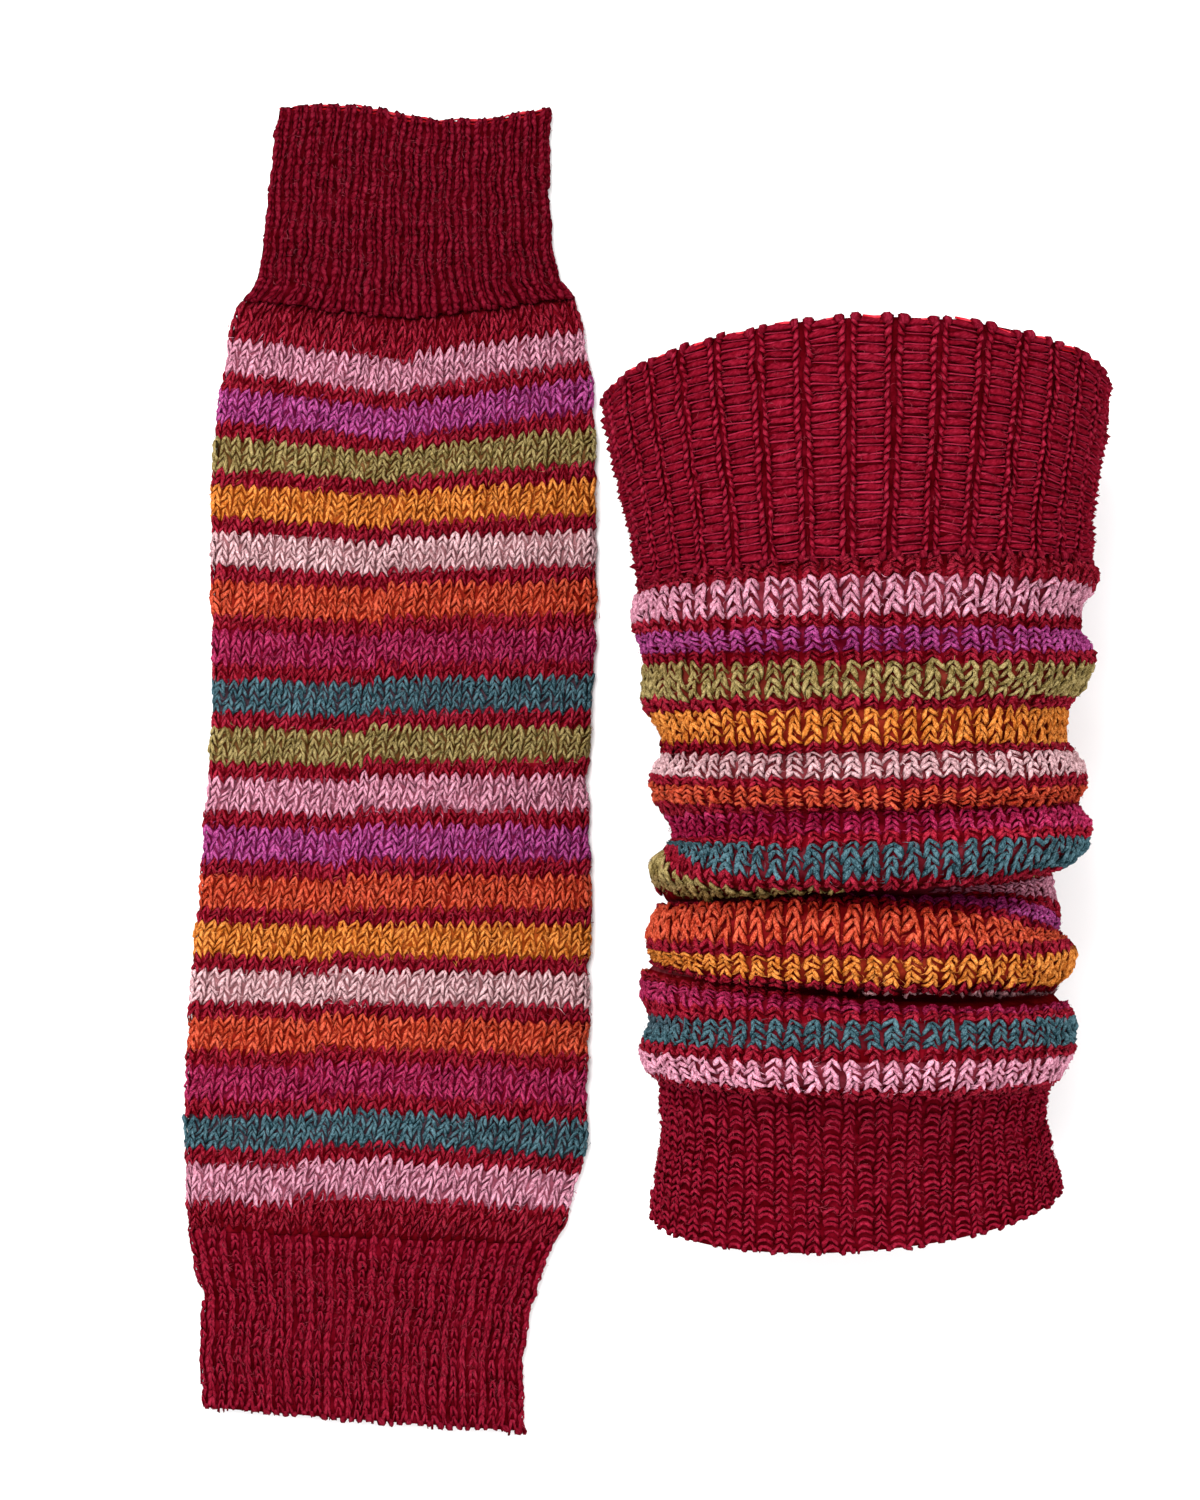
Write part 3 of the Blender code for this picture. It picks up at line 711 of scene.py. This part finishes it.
def laddered_rib(wide, high):
    """One course of the stretched upper cuff: the two legs beside the groove, and two bars."""
    left = [(-0.9, -0.75, 0.2), (-1.5, -0.15, 0.6), (-2.5, 0.55, 0.25)]
    right = [(0.9, -0.75, 0.2), (1.5, -0.15, 0.6), (2.6, 0.55, 0.25)]
    end = 2 * wide - 1.6
    thin = [(2.0, 0.36, 0.1), (3.4, 0.32, 0.6), (end - 1.6, 0.32, 0.6), (end, 0.36, 0.1)]
    full = [(1.8, -0.1, -0.1), (3.4, -0.2, 0.1), (wide, -0.25, 0.2), (end - 1.4, -0.2, 0.1)]
    full.append((end, -0.1, -0.1))
    scale = np.array((1, high, 1))
    # the tones paint the two legs and the thin bar lighter, and the full bar darker
    return [
        strand(np.array(left) * scale, [0.35, 0.75, 0.40], 1.05),
        strand(np.array(right) * scale, [0.40, 0.80, 0.45], 1.10),
        strand(np.array(thin) * scale, [0.2, 0.28, 0.28, 0.2], 1.25, 3),
        strand(np.array(full) * scale, [0.6, 0.75, 1.2, 0.75, 0.6], 0.9),
    ]


def meshed_rib(wide, high, thick, reach, foot):
    """One course of an opened cuff: a knit stitch, and the arc of a purl stitch beside it.

    reach is how many courses tall a stitch is, and foot how far it spreads from its middle.
    """
    side = [(1.1 * foot, 0.80 * reach, 0.1), (0.9 * foot, 0.0, 0.4), (0.35 * foot, -0.56 * reach, 0.4)]
    arc = [(1 - x, y, z) for x, y, z in side] + [(1 + x, y, z) for x, y, z in reversed(side)]
    radii = [0.7 * thick, thick, thick, thick, thick, 0.7 * thick]
    knit_stitch = stitch(wide, reach * high, thick, neck=0.33 * foot, foot=foot, lift=0.4)
    return knit_stitch + [strand(np.array(arc) * (wide, high, 1), radii)]


stitches["laid_upper_cuff"] = relaxed_rib(*SIZES["laid_upper_cuff"], 0.76)
stitches["laid_lower_cuff"] = meshed_rib(*SIZES["laid_lower_cuff"], 0.5, reach=0.95, foot=0.3)
stitches["filled_upper_cuff"] = laddered_rib(*SIZES["filled_upper_cuff"])
stitches["filled_lower_cuff"] = meshed_rib(*SIZES["filled_lower_cuff"], 0.54, reach=0.64, foot=0.42)
stitch_shapes = {node: joined(node + "_stitch", strands) for node, strands in stitches.items()}
print({node: len(shape.data.polygons) for node, shape in stitch_shapes.items()})

# %% [markdown]
# The first course of each upper cuff leaves a pair of round bumps on every rib, with a strand
# between one pair and the next that is painted brighter than the cuff, as a highlight, and the last
# course of every cuff leaves such bumps too. A hair of the fuzz is a thin arched fibre that ends in a
# point at both sides, with only three points round its middle. Hair curves would be lighter still,
# but what we hand on has to be a mesh.

# %% Model the rims and a hair
def rim_bumps(bump, spread, rise):
    """A pair of round bumps on one rib."""
    shares, radii = (-0.95, -0.5, 0.5, 0.95), (0.35 * bump, 0.9 * bump, 0.9 * bump, 0.35 * bump)
    return [
        strand([(side * spread + share * bump, -rise, 0.3) for share in shares], radii, 1.0, 6)
        for side in (-1, 1)
    ]


def rim_run(wide, spread):
    """The strands that run on to the next pair of bumps."""
    end = 2 * wide - spread
    return [
        # painted light on the outer strand, and painted shade on the inner one
        strand([(spread, y, 0.0), (wide, y - 0.2, z), (end, y, 0.0)], [thick, thick, thick], tone)
        for y, z, thick, tone in ((-0.4, 0.5, 0.45, 1.1), (0.9, 0.3, 0.4, 0.8))
    ]


def fibre(length, arch, bow, thick):
    """A hair that rises from the stitches in an arch and comes down again."""
    around = [(0.5 * length, bow + thick * np.cos(t), arch + thick * np.sin(t)) for t in (0.0, 2.1, 4.2)]
    points = np.array([(0, 0, 0)] + around + [(length, 0, 0.3 * arch)])
    faces = [(0, 1 + (k + 1) % 3, 1 + k) for k in range(3)]
    faces += [(4, 1 + k, 1 + (k + 1) % 3) for k in range(3)]
    return points, faces, np.ones(5), points * PLY_LENGTH


BUMPS = {
    "laid_upper_cuff": rim_bumps(bump=0.85, spread=0.75, rise=0.35),
    "laid_lower_cuff": rim_bumps(bump=1.15, spread=1.45, rise=0.1),
    "filled_upper_cuff": rim_bumps(bump=1.9, spread=2.6, rise=0.2),
    "filled_lower_cuff": rim_bumps(bump=1.1, spread=2.0, rise=0.0),
}
RUNS = {
    "laid_upper_cuff": rim_run(SIZES["laid_upper_cuff"][0], spread=0.9),
    "filled_upper_cuff": rim_run(SIZES["filled_upper_cuff"][0], spread=2.8),
}
bump_shapes = {node: joined(node + "_bumps", strands) for node, strands in BUMPS.items()}
run_shapes = {node: joined(node + "_run", strands) for node, strands in RUNS.items()}
hair_shape = joined("hair", [fibre(length=3.6, arch=1.0, bow=0.7, thick=0.09)])
print("a hair has", len(hair_shape.data.polygons), "faces")

# %% [markdown]
# ## A surface to carry the knitting
#
# The flat knitting has x across the wales and y down the courses, in millimetres. A Shrinkwrap
# modifier could pull it onto the cloth, but to the nearest point, which in a fold may be of another
# course. So each carrier is a hidden mesh whose map says which part of the knitting belongs at each
# point. It runs a little past the start of the round and past both rims, so that no stitch falls off.

# %% Make the carriers
PAST_RIMS, PAST_START = 2, 6  # how many courses and wales the carriers run on past their ends


def carrier(piece):
    """A fine hidden surface with the knitting's map and its outward directions."""
    steps = 4 if piece.relief else 2
    low, high = -PAST_START / WALES, 1 + PAST_START / WALES
    places = np.linspace(low, high, (WALES + 2 * PAST_START) * steps + 1)
    numbers = np.linspace(0, piece.courses, piece.courses * 2 + 1)
    grid, out = carrier_grid(piece, numbers, places)
    light = fold_light(grid)
    above, below = grid[:1] - grid[2:3], grid[-1:] - grid[-3:-2]
    grid = np.concatenate([grid[:1] + PAST_RIMS * above, grid, grid[-1:] + PAST_RIMS * below])
    out = np.concatenate([out[:1], out, out[-1:]])
    light = np.concatenate([light[:1], light, light[-1:]])
    numbers = np.concatenate([[-PAST_RIMS], numbers, [piece.courses + PAST_RIMS]])
    courses = knitted_course(piece, numbers, places)
    rows, count = grid.shape[:2]
    i, j = np.meshgrid(np.arange(rows - 1), np.arange(count - 1), indexing="ij")
    a = i * count + j
    corners = np.stack([a, a + 1, a + count + 1, a + count], axis=-1).reshape(-1, 4)
    mesh = bpy.data.meshes.new(piece.node + "_carrier")
    mesh.from_pydata((grid.reshape(-1, 3) * MM).tolist(), [], corners.tolist())
    chart = np.stack([np.tile(places, (rows, 1)), courses / piece.courses], axis=-1).reshape(-1, 2)
    layer = mesh.uv_layers.new(name="knitting")
    layer.data.foreach_set("uv", chart[corners.ravel()].astype(np.float32).ravel())
    note(mesh, "out", "FLOAT_VECTOR", out)
    note(mesh, "light", "FLOAT_VECTOR", np.repeat(light.ravel(), 3))
    return put_in_scene(mesh.name, mesh, pattern=True)


carriers = {piece.node: carrier(piece) for piece in PIECES}
print({name: len(made.data.polygons) for name, made in carriers.items()})

# %% [markdown]
# ## The nodes that knit
#
# The trees for knitting and for wool are put together with two helpers. One gives an input its
# value, and the other adds a node with all its inputs.

# %% Write the helpers for node trees
def give(tree, socket, value):
    """Gives an input a value of its own, or the output of another node."""
    if isinstance(value, bpy.types.NodeSocket):
        tree.links.new(value, socket)
    else:
        socket.default_value = value


def add_node(tree, kind, inputs, settings):
    """The outputs of a new node, whose inputs are given by name or by number."""
    node = tree.nodes.new(kind)
    for key, value in settings.items():
        setattr(node, key, value)
    for key, value in (inputs or {}).items():
        give(tree, node.inputs[key], value)
    return node.outputs


# %% [markdown]
# One point stands for each stitch. The nodes put a stitch shape on every point, turn it a little so
# that no two are quite alike, and make it real. Then they read where the carrier is under each
# vertex of the flat knitting, and move the vertex there, out from the surface by its own height.
# Stitches could be set on the cloth as they are, but stiff ones would gape wherever it bends.

# %% Write the tree that knits
TREE_INPUTS = {
    "Geometry": "NodeSocketGeometry",
    "Shape": "NodeSocketObject",
    "Carrier": "NodeSocketObject",
    "Wool": "NodeSocketMaterial",
    "Knitting Width": "NodeSocketFloat",
    "Knitting Length": "NodeSocketFloat",
    "Turn": "NodeSocketFloat",
    "Slip": "NodeSocketFloat",
    "Wander": "NodeSocketFloat",
    "Least Size": "NodeSocketFloat",
    "Seed": "NodeSocketInt",
}
WANDERS = ((0.12, 1.0), (0.5, 0.5))  # scale and share of a broad wander and of a finer one
MAP_SHARE, MAP_MARGIN = 0.84, 0.08  # the knitting fills its own map but for a margin
NUDGE = (0.0002, 0.0003, 0)  # the step on the map from a seam to a place beside it


def knitting_tree():
    """The tree that makes all stitches, rims and hairs."""
    tree = bpy.data.node_groups.new("Knit onto a surface", "GeometryNodeTree")
    tree.interface.new_socket("Geometry", in_out="OUTPUT", socket_type="NodeSocketGeometry")
    for name, kind in TREE_INPUTS.items():
        tree.interface.new_socket(name, in_out="INPUT", socket_type=kind)

    def add(kind, inputs=None, **settings):
        return add_node(tree, kind, inputs, settings)

    def maths(operation, first, second):
        return add("ShaderNodeMath", {0: first, 1: second}, operation=operation)[0]

    def vectors(operation, inputs):
        return add("ShaderNodeVectorMath", inputs, operation=operation)[0]

    def noted(name, kind="FLOAT_VECTOR"):
        return add("GeometryNodeInputNamedAttribute", {"Name": name}, data_type=kind)["Attribute"]

    def keep(geometry, name, kind, domain, value):
        inputs = {"Geometry": geometry, "Name": name, "Value": value}
        return add("GeometryNodeStoreNamedAttribute", inputs, data_type=kind, domain=domain)[0]

    def any_vector(reach, offset):
        """A random vector for each stitch, with each part between minus reach and reach."""
        back = maths("MULTIPLY", reach, -1.0)
        low, high = [
            add("ShaderNodeCombineXYZ", {k: part for k in range(3)})[0] for part in (back, reach)
        ]
        inputs = {0: low, 1: high, "Seed": maths("ADD", given["Seed"], offset)}
        return add("FunctionNodeRandomValue", inputs, data_type="FLOAT_VECTOR")[0]

    def wander(place, scale, share):
        """Moves places smoothly about, by a share of the given Wander."""
        noise = add("ShaderNodeTexNoise", {"Vector": place, "Scale": scale})["Color"]
        centred = vectors("SUBTRACT", {0: noise, 1: (0.5, 0.5, 0.5)})
        moved = vectors("SCALE", {0: centred, "Scale": maths("MULTIPLY", given["Wander"], share)})
        return vectors("ADD", {0: place, 1: moved})

    given = add("NodeGroupInput")
    slip = vectors("MULTIPLY", {0: any_vector(given["Slip"], 1), 1: (1, 1, 0.5)})
    slipped = add("GeometryNodeSetPosition", {"Geometry": given["Geometry"], "Offset": slip})[0]
    turned = vectors("ADD", {0: noted("lean"), 1: any_vector(given["Turn"], 2)})
    sizes = {2: given["Least Size"], 3: 1.0, "Seed": maths("ADD", given["Seed"], 3)}
    repeated = add("GeometryNodeInstanceOnPoints", {
        "Points": slipped,
        "Instance": add("GeometryNodeObjectInfo", {"Object": given["Shape"]})["Geometry"],
        "Rotation": turned,
        "Scale": add("FunctionNodeRandomValue", sizes, data_type="FLOAT")[1],
    })[0]
    real = add("GeometryNodeRealizeInstances", {0: repeated})[0]

    position = add("GeometryNodeInputPosition")[0]
    wandered = position
    for scale, share in WANDERS:
        wandered = wander(wandered, scale, share)
    place = add("ShaderNodeSeparateXYZ", {0: wandered})
    on_map = add("ShaderNodeCombineXYZ", {
        0: maths("DIVIDE", place[0], given["Knitting Width"]),
        1: maths("DIVIDE", place[1], given["Knitting Length"]),
    })[0]
    shares, margins = (MAP_SHARE, MAP_SHARE, 0), (MAP_MARGIN, MAP_MARGIN, 0)
    own_map = vectors("MULTIPLY_ADD", {0: on_map, 1: shares, 2: margins})
    mapped = keep(real, "OFBake", "FLOAT2", "CORNER", own_map)
    flat = keep(mapped, "flat", "FLOAT_VECTOR", "POINT", position)

    ground = add("GeometryNodeObjectInfo", {"Object": given["Carrier"]})["Geometry"]
    chart, beside = noted("knitting"), vectors("ADD", {0: on_map, 1: NUDGE})

    def read(value):
        """A value of the carrier under each vertex, read beside it if it falls on a seam."""
        here, near = [
            add(
                "GeometryNodeSampleUVSurface", {0: ground, 1: value, 2: chart, 3: at},
                data_type="FLOAT_VECTOR",
            )
            for at in (on_map, beside)
        ]
        choice = {"Switch": here["Is Valid"], "False": near[0], "True": here[0]}
        return add("GeometryNodeSwitch", choice, input_type="VECTOR")[0]

    light = add("ShaderNodeSeparateXYZ", {0: read(noted("light"))})[0]
    lit = keep(flat, "tone", "FLOAT", "POINT", maths("MULTIPLY", noted("tone", "FLOAT"), light))
    raised = vectors("SCALE", {0: read(noted("out")), "Scale": maths("MULTIPLY", place[2], MM)})
    there = add("ShaderNodeSeparateXYZ", {0: vectors("ADD", {0: read(position), 1: raised})})
    above_floor = maths("MAXIMUM", there[2], 0.0)
    on_floor = add("ShaderNodeCombineXYZ", {0: there[0], 1: there[1], 2: above_floor})[0]
    moved = add("GeometryNodeSetPosition", {"Geometry": lit, "Position": on_floor})[0]
    smooth = add("GeometryNodeSetShadeSmooth", {0: moved})[0]
    woollen = add("GeometryNodeSetMaterial", {"Geometry": smooth, "Material": given["Wool"]})[0]
    add("NodeGroupOutput", {0: woollen})
    return tree


TREE = knitting_tree()
print(len(TREE.nodes), "nodes")

# %% [markdown]
# `knit` gives the modifier its inputs by socket identifier, takes the evaluated mesh as a plain
# object and removes the points with their modifier. What is left is an ordinary mesh, ready for any
# other step.

# %% Write the step that runs the tree
SEED = 7


def knit(piece, name, places, colours, leans, shape, wool, turn, slip, wander, least):
    """Runs the tree on one set of points and returns the plain mesh object."""
    loose = bpy.data.meshes.new(name + "_points")
    loose.from_pydata(places.tolist(), [], [])
    note_yarn(loose, colours, "POINT")
    note(loose, "lean", "FLOAT_VECTOR", leans)
    points = put_in_scene(loose.name, loose)
    modifier = points.modifiers.new("knit", "NODES")
    modifier.node_group = TREE
    values = {
        "Shape": shape,
        "Carrier": carriers[piece.node],
        "Wool": wool,
        "Knitting Width": WALES * piece.wide,
        "Knitting Length": piece.courses * piece.high,
        "Turn": turn,
        "Slip": slip,
        "Wander": wander,
        "Least Size": least,
        "Seed": SEED,
    }
    for item in TREE.interface.items_tree:
        if item.in_out == "INPUT" and item.name in values:
            modifier[item.identifier] = values[item.name]
    view = bpy.context.evaluated_depsgraph_get()
    mesh = bpy.data.meshes.new_from_object(points.evaluated_get(view))
    mesh.name = name
    if "lean" in mesh.attributes:
        mesh.attributes.remove(mesh.attributes["lean"])
    bpy.data.objects.remove(points)
    return put_in_scene(name, mesh)


# %% [markdown]
# ## Wool
#
# The colour of each stitch is the attribute `yarn`, and `tone` is the light and shade painted on it:
# shade where it lies deep or in a fold, and a little light on some strands. Yarn is spun from plies
# of many fibres, so a noise that follows `ply` round and along the strand streaks the colour. `flat`,
# the place in the flat knitting in millimetres, shifts it from stitch to stitch, and gives a second,
# broader noise that makes the wool heathered. Wool that is dark, by its heather and by the painted
# shade, also has a fuller colour.
# A picture of wool could be laid on instead, but noise never repeats, and it follows every strand.

# %% Make the materials
FULLER = 1.0  # how much fuller the colour grows where the wool is dark, by its heather and by painted shade
PALEST = 0.85  # and the least power of its colour, where the wool is light
STITCH_SHIFT = 0.17  # how fast the streaks change from one stitch to the next
HEATHER_SCALE, NOISE_DETAIL = 0.35, 3.0  # how fine the broader noise is, and how rich both are
WOOL_ROUGHNESS, BUMP_STRENGTH, BUMP_DEPTH = 0.95, 0.8, 0.0004  # the depth is in metres


def wool_material(name, darkest, lightest, fineness):
    """darkest and lightest are how far the noises lower and raise the yarn's own colour.

    The higher fineness is, the finer are the streaks of its plies.
    """
    material = bpy.data.materials.new(name)
    material.use_nodes = True
    tree = material.node_tree

    def add(kind, inputs=None, **settings):
        return add_node(tree, kind, inputs, settings)

    def maths(operation, first, second):
        return add("ShaderNodeMath", {0: first, 1: second}, operation=operation)[0]

    def noted(name):
        return add("ShaderNodeAttribute", attribute_name=name)

    def noise(place, scale):
        return add("ShaderNodeTexNoise", {"Vector": place, "Scale": scale, "Detail": NOISE_DETAIL})["Fac"]

    flat = noted("flat")["Vector"]
    shifted = add(
        "ShaderNodeVectorMath", {0: flat, 1: [STITCH_SHIFT] * 3, 2: noted("ply")["Vector"]},
        operation="MULTIPLY_ADD",
    )[0]
    streaks, heather = noise(shifted, fineness), noise(flat, HEATHER_SCALE)
    tone = add("ShaderNodeMapRange", {
        "Value": maths("ADD", maths("MULTIPLY", streaks, 2.0), heather),
        "From Min": 1.0,
        "From Max": 2.0,
        "To Min": darkest,
        "To Max": lightest,
    })["Result"]
    light = maths("MULTIPLY", tone, noted("tone")["Fac"])
    power = maths("SUBTRACT", 1 + FULLER, maths("MULTIPLY", light, FULLER))
    least_power = maths("MAXIMUM", power, PALEST)
    fuller = add("ShaderNodeGamma", {"Color": noted("yarn")["Color"], "Gamma": least_power})[0]
    colour = add("ShaderNodeVectorMath", {0: fuller, "Scale": light}, operation="SCALE")[0]
    bump = {"Strength": BUMP_STRENGTH, "Distance": BUMP_DEPTH, "Height": streaks}
    shader = tree.nodes["Principled BSDF"].inputs
    shader["Roughness"].default_value = WOOL_ROUGHNESS
    shader["Specular IOR Level"].default_value = 0.0
    give(tree, shader["Base Color"], colour)
    give(tree, shader["Normal"], add("ShaderNodeBump", bump)["Normal"])
    return material


leg_wool = wool_material("leg_wool", 0.48, 1.52, fineness=2.6)
cuff_wool = wool_material("cuff_wool", 0.82, 1.2, fineness=1.7)
backing = wool_material("wool_backing", 0.7, 1.3, fineness=1.4)
fuzz_wool = wool_material("wool_fuzz", 0.9, 1.2, fineness=1.4)
for made in cloths.values():
    made.data.materials.append(backing)
print([material.name for material in (leg_wool, cuff_wool, backing, fuzz_wool)])

# %% [markdown]
# ## Knit the six pieces
#
# Stitches go on all that shows. The underside rests on the surface and stays plain. The stitches
# are a little uneven, as wool that has been worn is. In a tube the courses climb by one in each
# round, so on one side of the jog a stripe lies one course lower than on the other.

# %% Place the stitches
UNEVEN = 0.08  # how much lighter or darker one stitch is than another
LEAST_ROOM = 0.5  # where the courses lie closer than this along the tube, a fold hides them
HEAD_ROOM, FOOT_ROOM = 0.2, 0.1  # how near, in courses, a stitch may come to the piece's two ends
SEAM_SHADE, SEAM_REACH = 0.45, 2.0  # the leg's first and last courses lie in the shade of the cuffs
REDDEST = 0.7  # how much of a stripe's colour is lost to red in the deepest shade


def folds_of(piece):
    """How far the next course lies along the tube on every wale, and how deep in shade it is."""
    numbers = np.arange(piece.courses + 1.0)
    grid = grid_of(piece.table, piece.laid, numbers, np.arange(WALES) / WALES)
    return -np.diff(grid[:, :, 1], axis=0), (1 - fold_light(grid)) / FOLD_SHADE


def first_wale(piece):
    """Where the first stitch of each course lies, or the first rib of a cuff."""
    if not piece.relief:
        return 0.5
    return 2 * RIB_PHASE + (1 if piece.laid else 0)


def stitch_points(piece):
    """Flat places, colours and leans of a piece's stitches."""
    places, colours, leans = [], [], []
    chance = np.random.default_rng(SEED)
    room, shade = folds_of(piece)
    for course in range(-1, piece.courses + 1):
        for wale in range(0, WALES, 2 if piece.relief else 1):
            across = (wale + first_wale(piece) + piece.drift * course) % WALES
            down = course + 0.5 + climb_of(piece, wale)
            if not piece.first < across / WALES < piece.last:
                continue
            if not HEAD_ROOM < down < piece.courses - FOOT_ROOM:
                continue
            if room[int(down), int(across)] < LEAST_ROOM:
                continue
            places.append((across * piece.wide, down * piece.high, 0.0))
            red = REDDEST * shade[int(down), int(across)]
            colour = yarn_of(piece, course) * (1 - red) + light_of("cuff") * red
            if not piece.relief:
                colour *= 1 - SEAM_SHADE * np.exp(-min(down, piece.courses - down) / SEAM_REACH)
            colours.append(colour * chance.uniform(1 - UNEVEN, 1 + UNEVEN))
            leans.append((0.0, 0.0, -np.arctan(piece.drift * piece.wide / piece.high)))
    return np.array(places), np.array(colours), np.array(leans)


# %% [markdown]
# One run of the tree knits a cuff. A leg takes two, so that neither mesh grows too large.

# %% Knit the stitches
HALF_WAY = LEG_COURSES // 2  # the course at which the second run for a leg starts


def count_triangles(made):
    """How many triangles an object's faces come to."""
    return sum(len(face.vertices) - 2 for face in made.data.polygons)


knitted = {}
for piece in PIECES:
    places, colours, leans = stitch_points(piece)
    upper = places[:, 1] < HALF_WAY * piece.high
    knitted[piece.node] = []
    for number, half in enumerate([upper] if piece.relief else [upper, ~upper]):
        made = knit(
            piece, f"{piece.node}_stitches_{number + 1}", places[half], colours[half], leans[half],
            stitch_shapes[piece.node], cuff_wool if piece.relief else leg_wool,
            turn=piece.turn, slip=1.3 * piece.turn, wander=3.0, least=1 - 0.7 * piece.turn,
        )
        knitted[piece.node].append(made)
        print(made.name, int(half.sum()), "stitches", count_triangles(made), "triangles")

# %% [markdown]
# The rims are knitted by the same tree, one shape to each rib. At the foot of a cuff the shape is
# turned half round, so that its bumps point down. The upper cuffs have bumps at both ends, as their
# last course stands up where the plain leg begins.

# %% Add the rims
BUMP_LIGHT = 0.7  # the bumps are a little darker than the cuff
RIM_IN = 0.3  # how far in from the ends of the cuff the bumps sit

for piece in PIECES:
    if not piece.relief:
        continue
    across = (np.arange(RIBS) * 2 + first_wale(piece)) % WALES
    across = across[(across > piece.first * WALES) & (across < piece.last * WALES)]
    bumps, dark = bump_shapes[piece.node], light_of("cuff") * BUMP_LIGHT
    rims = [("foot_bumps", bumps, dark, piece.courses * piece.high - RIM_IN, np.pi)]
    if piece.node in run_shapes:
        rims.append(("head_bumps", bumps, dark, RIM_IN, 0.0))
        # the run is the cuff's red with a painted highlight
        rims.append(("head_run", run_shapes[piece.node], light_of("cuff edge highlight"), RIM_IN, 0.0))
    for name, shape, colour, down, half_turn in rims:
        places = np.array([(wale * piece.wide, down, 0.0) for wale in across])
        colours = np.tile(colour * piece.light, (len(places), 1))
        leans = np.tile((0.0, 0.0, half_turn), (len(places), 1))
        made = knit(
            piece, f"{piece.node}_{name}", places, colours, leans, shape, cuff_wool,
            turn=0.1, slip=0.25, wander=2.6, least=0.75,
        )
        knitted[piece.node].append(made)
        print(made.name, count_triangles(made), "triangles")

# %% [markdown]
# ## Fuzz
#
# Loose fibres lie over the stitches in all directions. A softer material could hint at them, but at
# the edges they stand off the wool. So they are hairs from the same tree, scattered at random, a
# little lighter than the yarn they come from. None are laid deep in a fold.

# %% Scatter the hairs
HAIRS = {
    "laid_upper_cuff": 1200,
    "laid_leg": 7500,
    "laid_lower_cuff": 1200,
    "filled_upper_cuff": 2200,
    "filled_leg": 12000,
    "filled_lower_cuff": 1400,
}
LIGHTER = 0.012  # how much white is mixed into the colour of a hair
HAIR_START = 0.4  # height at which a hair leaves the cloth
FROM_SIDES, FROM_ENDS = 0.01, 2  # how far hairs keep from the edges, in rounds and in courses

for piece in PIECES:
    chance = np.random.default_rng(SEED + 1)
    count = HAIRS[piece.node]
    across = chance.uniform(piece.first + FROM_SIDES, piece.last - FROM_SIDES, count) * WALES
    down = chance.uniform(FROM_ENDS, piece.courses - FROM_ENDS, count)
    open_to_view = folds_of(piece)[0][down.astype(int), across.astype(int)] > LEAST_ROOM
    across, down = across[open_to_view], down[open_to_view]
    count = len(down)
    places = np.stack([across * piece.wide, down * piece.high, np.full(count, HAIR_START)], axis=1)
    colours = np.array([yarn_of(piece, course) for course in down]) * (1 - LIGHTER) + LIGHTER
    leans = np.zeros((count, 3))
    leans[:, 2] = chance.uniform(0, 2 * np.pi, count)
    made = knit(
        piece, piece.node + "_fuzz", places, colours, leans, hair_shape, fuzz_wool,
        turn=0.3, slip=0.3, wander=2.6, least=0.4,
    )
    knitted[piece.node].append(made)
    print(made.name, count_triangles(made), "triangles")

# %% [markdown]
# ## Floor, light and camera
#
# Large soft lights and a pale floor keep the shadows faint. The camera looks straight down from
# three metres, and 240 mm of lens fits 450 mm of floor to the long side of the picture.

# %% Set the stage
FLOOR_REACH = 3  # metres from the middle of the floor to each side
PAPER_WHITE, SKY_STRENGTH = (0.93, 0.93, 0.93, 1), 1.25

floor_mesh = bpy.data.meshes.new("floor")
floor_corners = [(x * FLOOR_REACH, y * FLOOR_REACH, 0) for x, y in ((-1, -1), (1, -1), (1, 1), (-1, 1))]
floor_mesh.from_pydata(floor_corners, [], [(0, 1, 2, 3)])
floor = put_in_scene("floor", floor_mesh)
paper = bpy.data.materials.new("paper")
paper.use_nodes = True
paper.node_tree.nodes["Principled BSDF"].inputs["Base Color"].default_value = PAPER_WHITE
paper.node_tree.nodes["Principled BSDF"].inputs["Roughness"].default_value = 1.0
floor_mesh.materials.append(paper)

world = bpy.data.worlds.new("studio")
world.use_nodes = True
world.node_tree.nodes["Background"].inputs["Color"].default_value = (1, 1, 1, 1)
world.node_tree.nodes["Background"].inputs["Strength"].default_value = SKY_STRENGTH
bpy.context.scene.world = world


def soft_light(name, place, size, power):
    """A square light that faces the middle of the pair."""
    data = bpy.data.lights.new(name, "AREA")
    data.size = size
    data.energy = power
    light = put_in_scene(name, data)
    light.location = place
    light.rotation_euler = (-light.location).to_track_quat("-Z", "Y").to_euler()


soft_light("key", (-0.5, 0.8, 1.8), size=1.0, power=44)
soft_light("fill", (0.9, -0.9, 1.6), size=1.4, power=16)

camera_data = bpy.data.cameras.new("camera")
camera_data.lens = 240
camera_data.clip_end = 20
camera = put_in_scene("camera", camera_data)
camera.location = (-0.0127, 0.00565, 3.0)
bpy.context.scene.camera = camera
bpy.context.scene.view_settings.view_transform = "Standard"
print("camera at", [round(v, 4) for v in camera.location])

# %% [markdown]
# ## Put each piece in place
#
# Every cloth and the pieces on it are hung from one body, and the solid that it stands for is
# hidden. The patterns that were repeated, and the carriers, have done their work and go.

for made in patterns:
    bpy.data.objects.remove(made)
for piece in PIECES:
    cloth = cloths[piece.node]
    for made in [cloth] + knitted[piece.node]:
        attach(made, "root")
    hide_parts(piece.node)
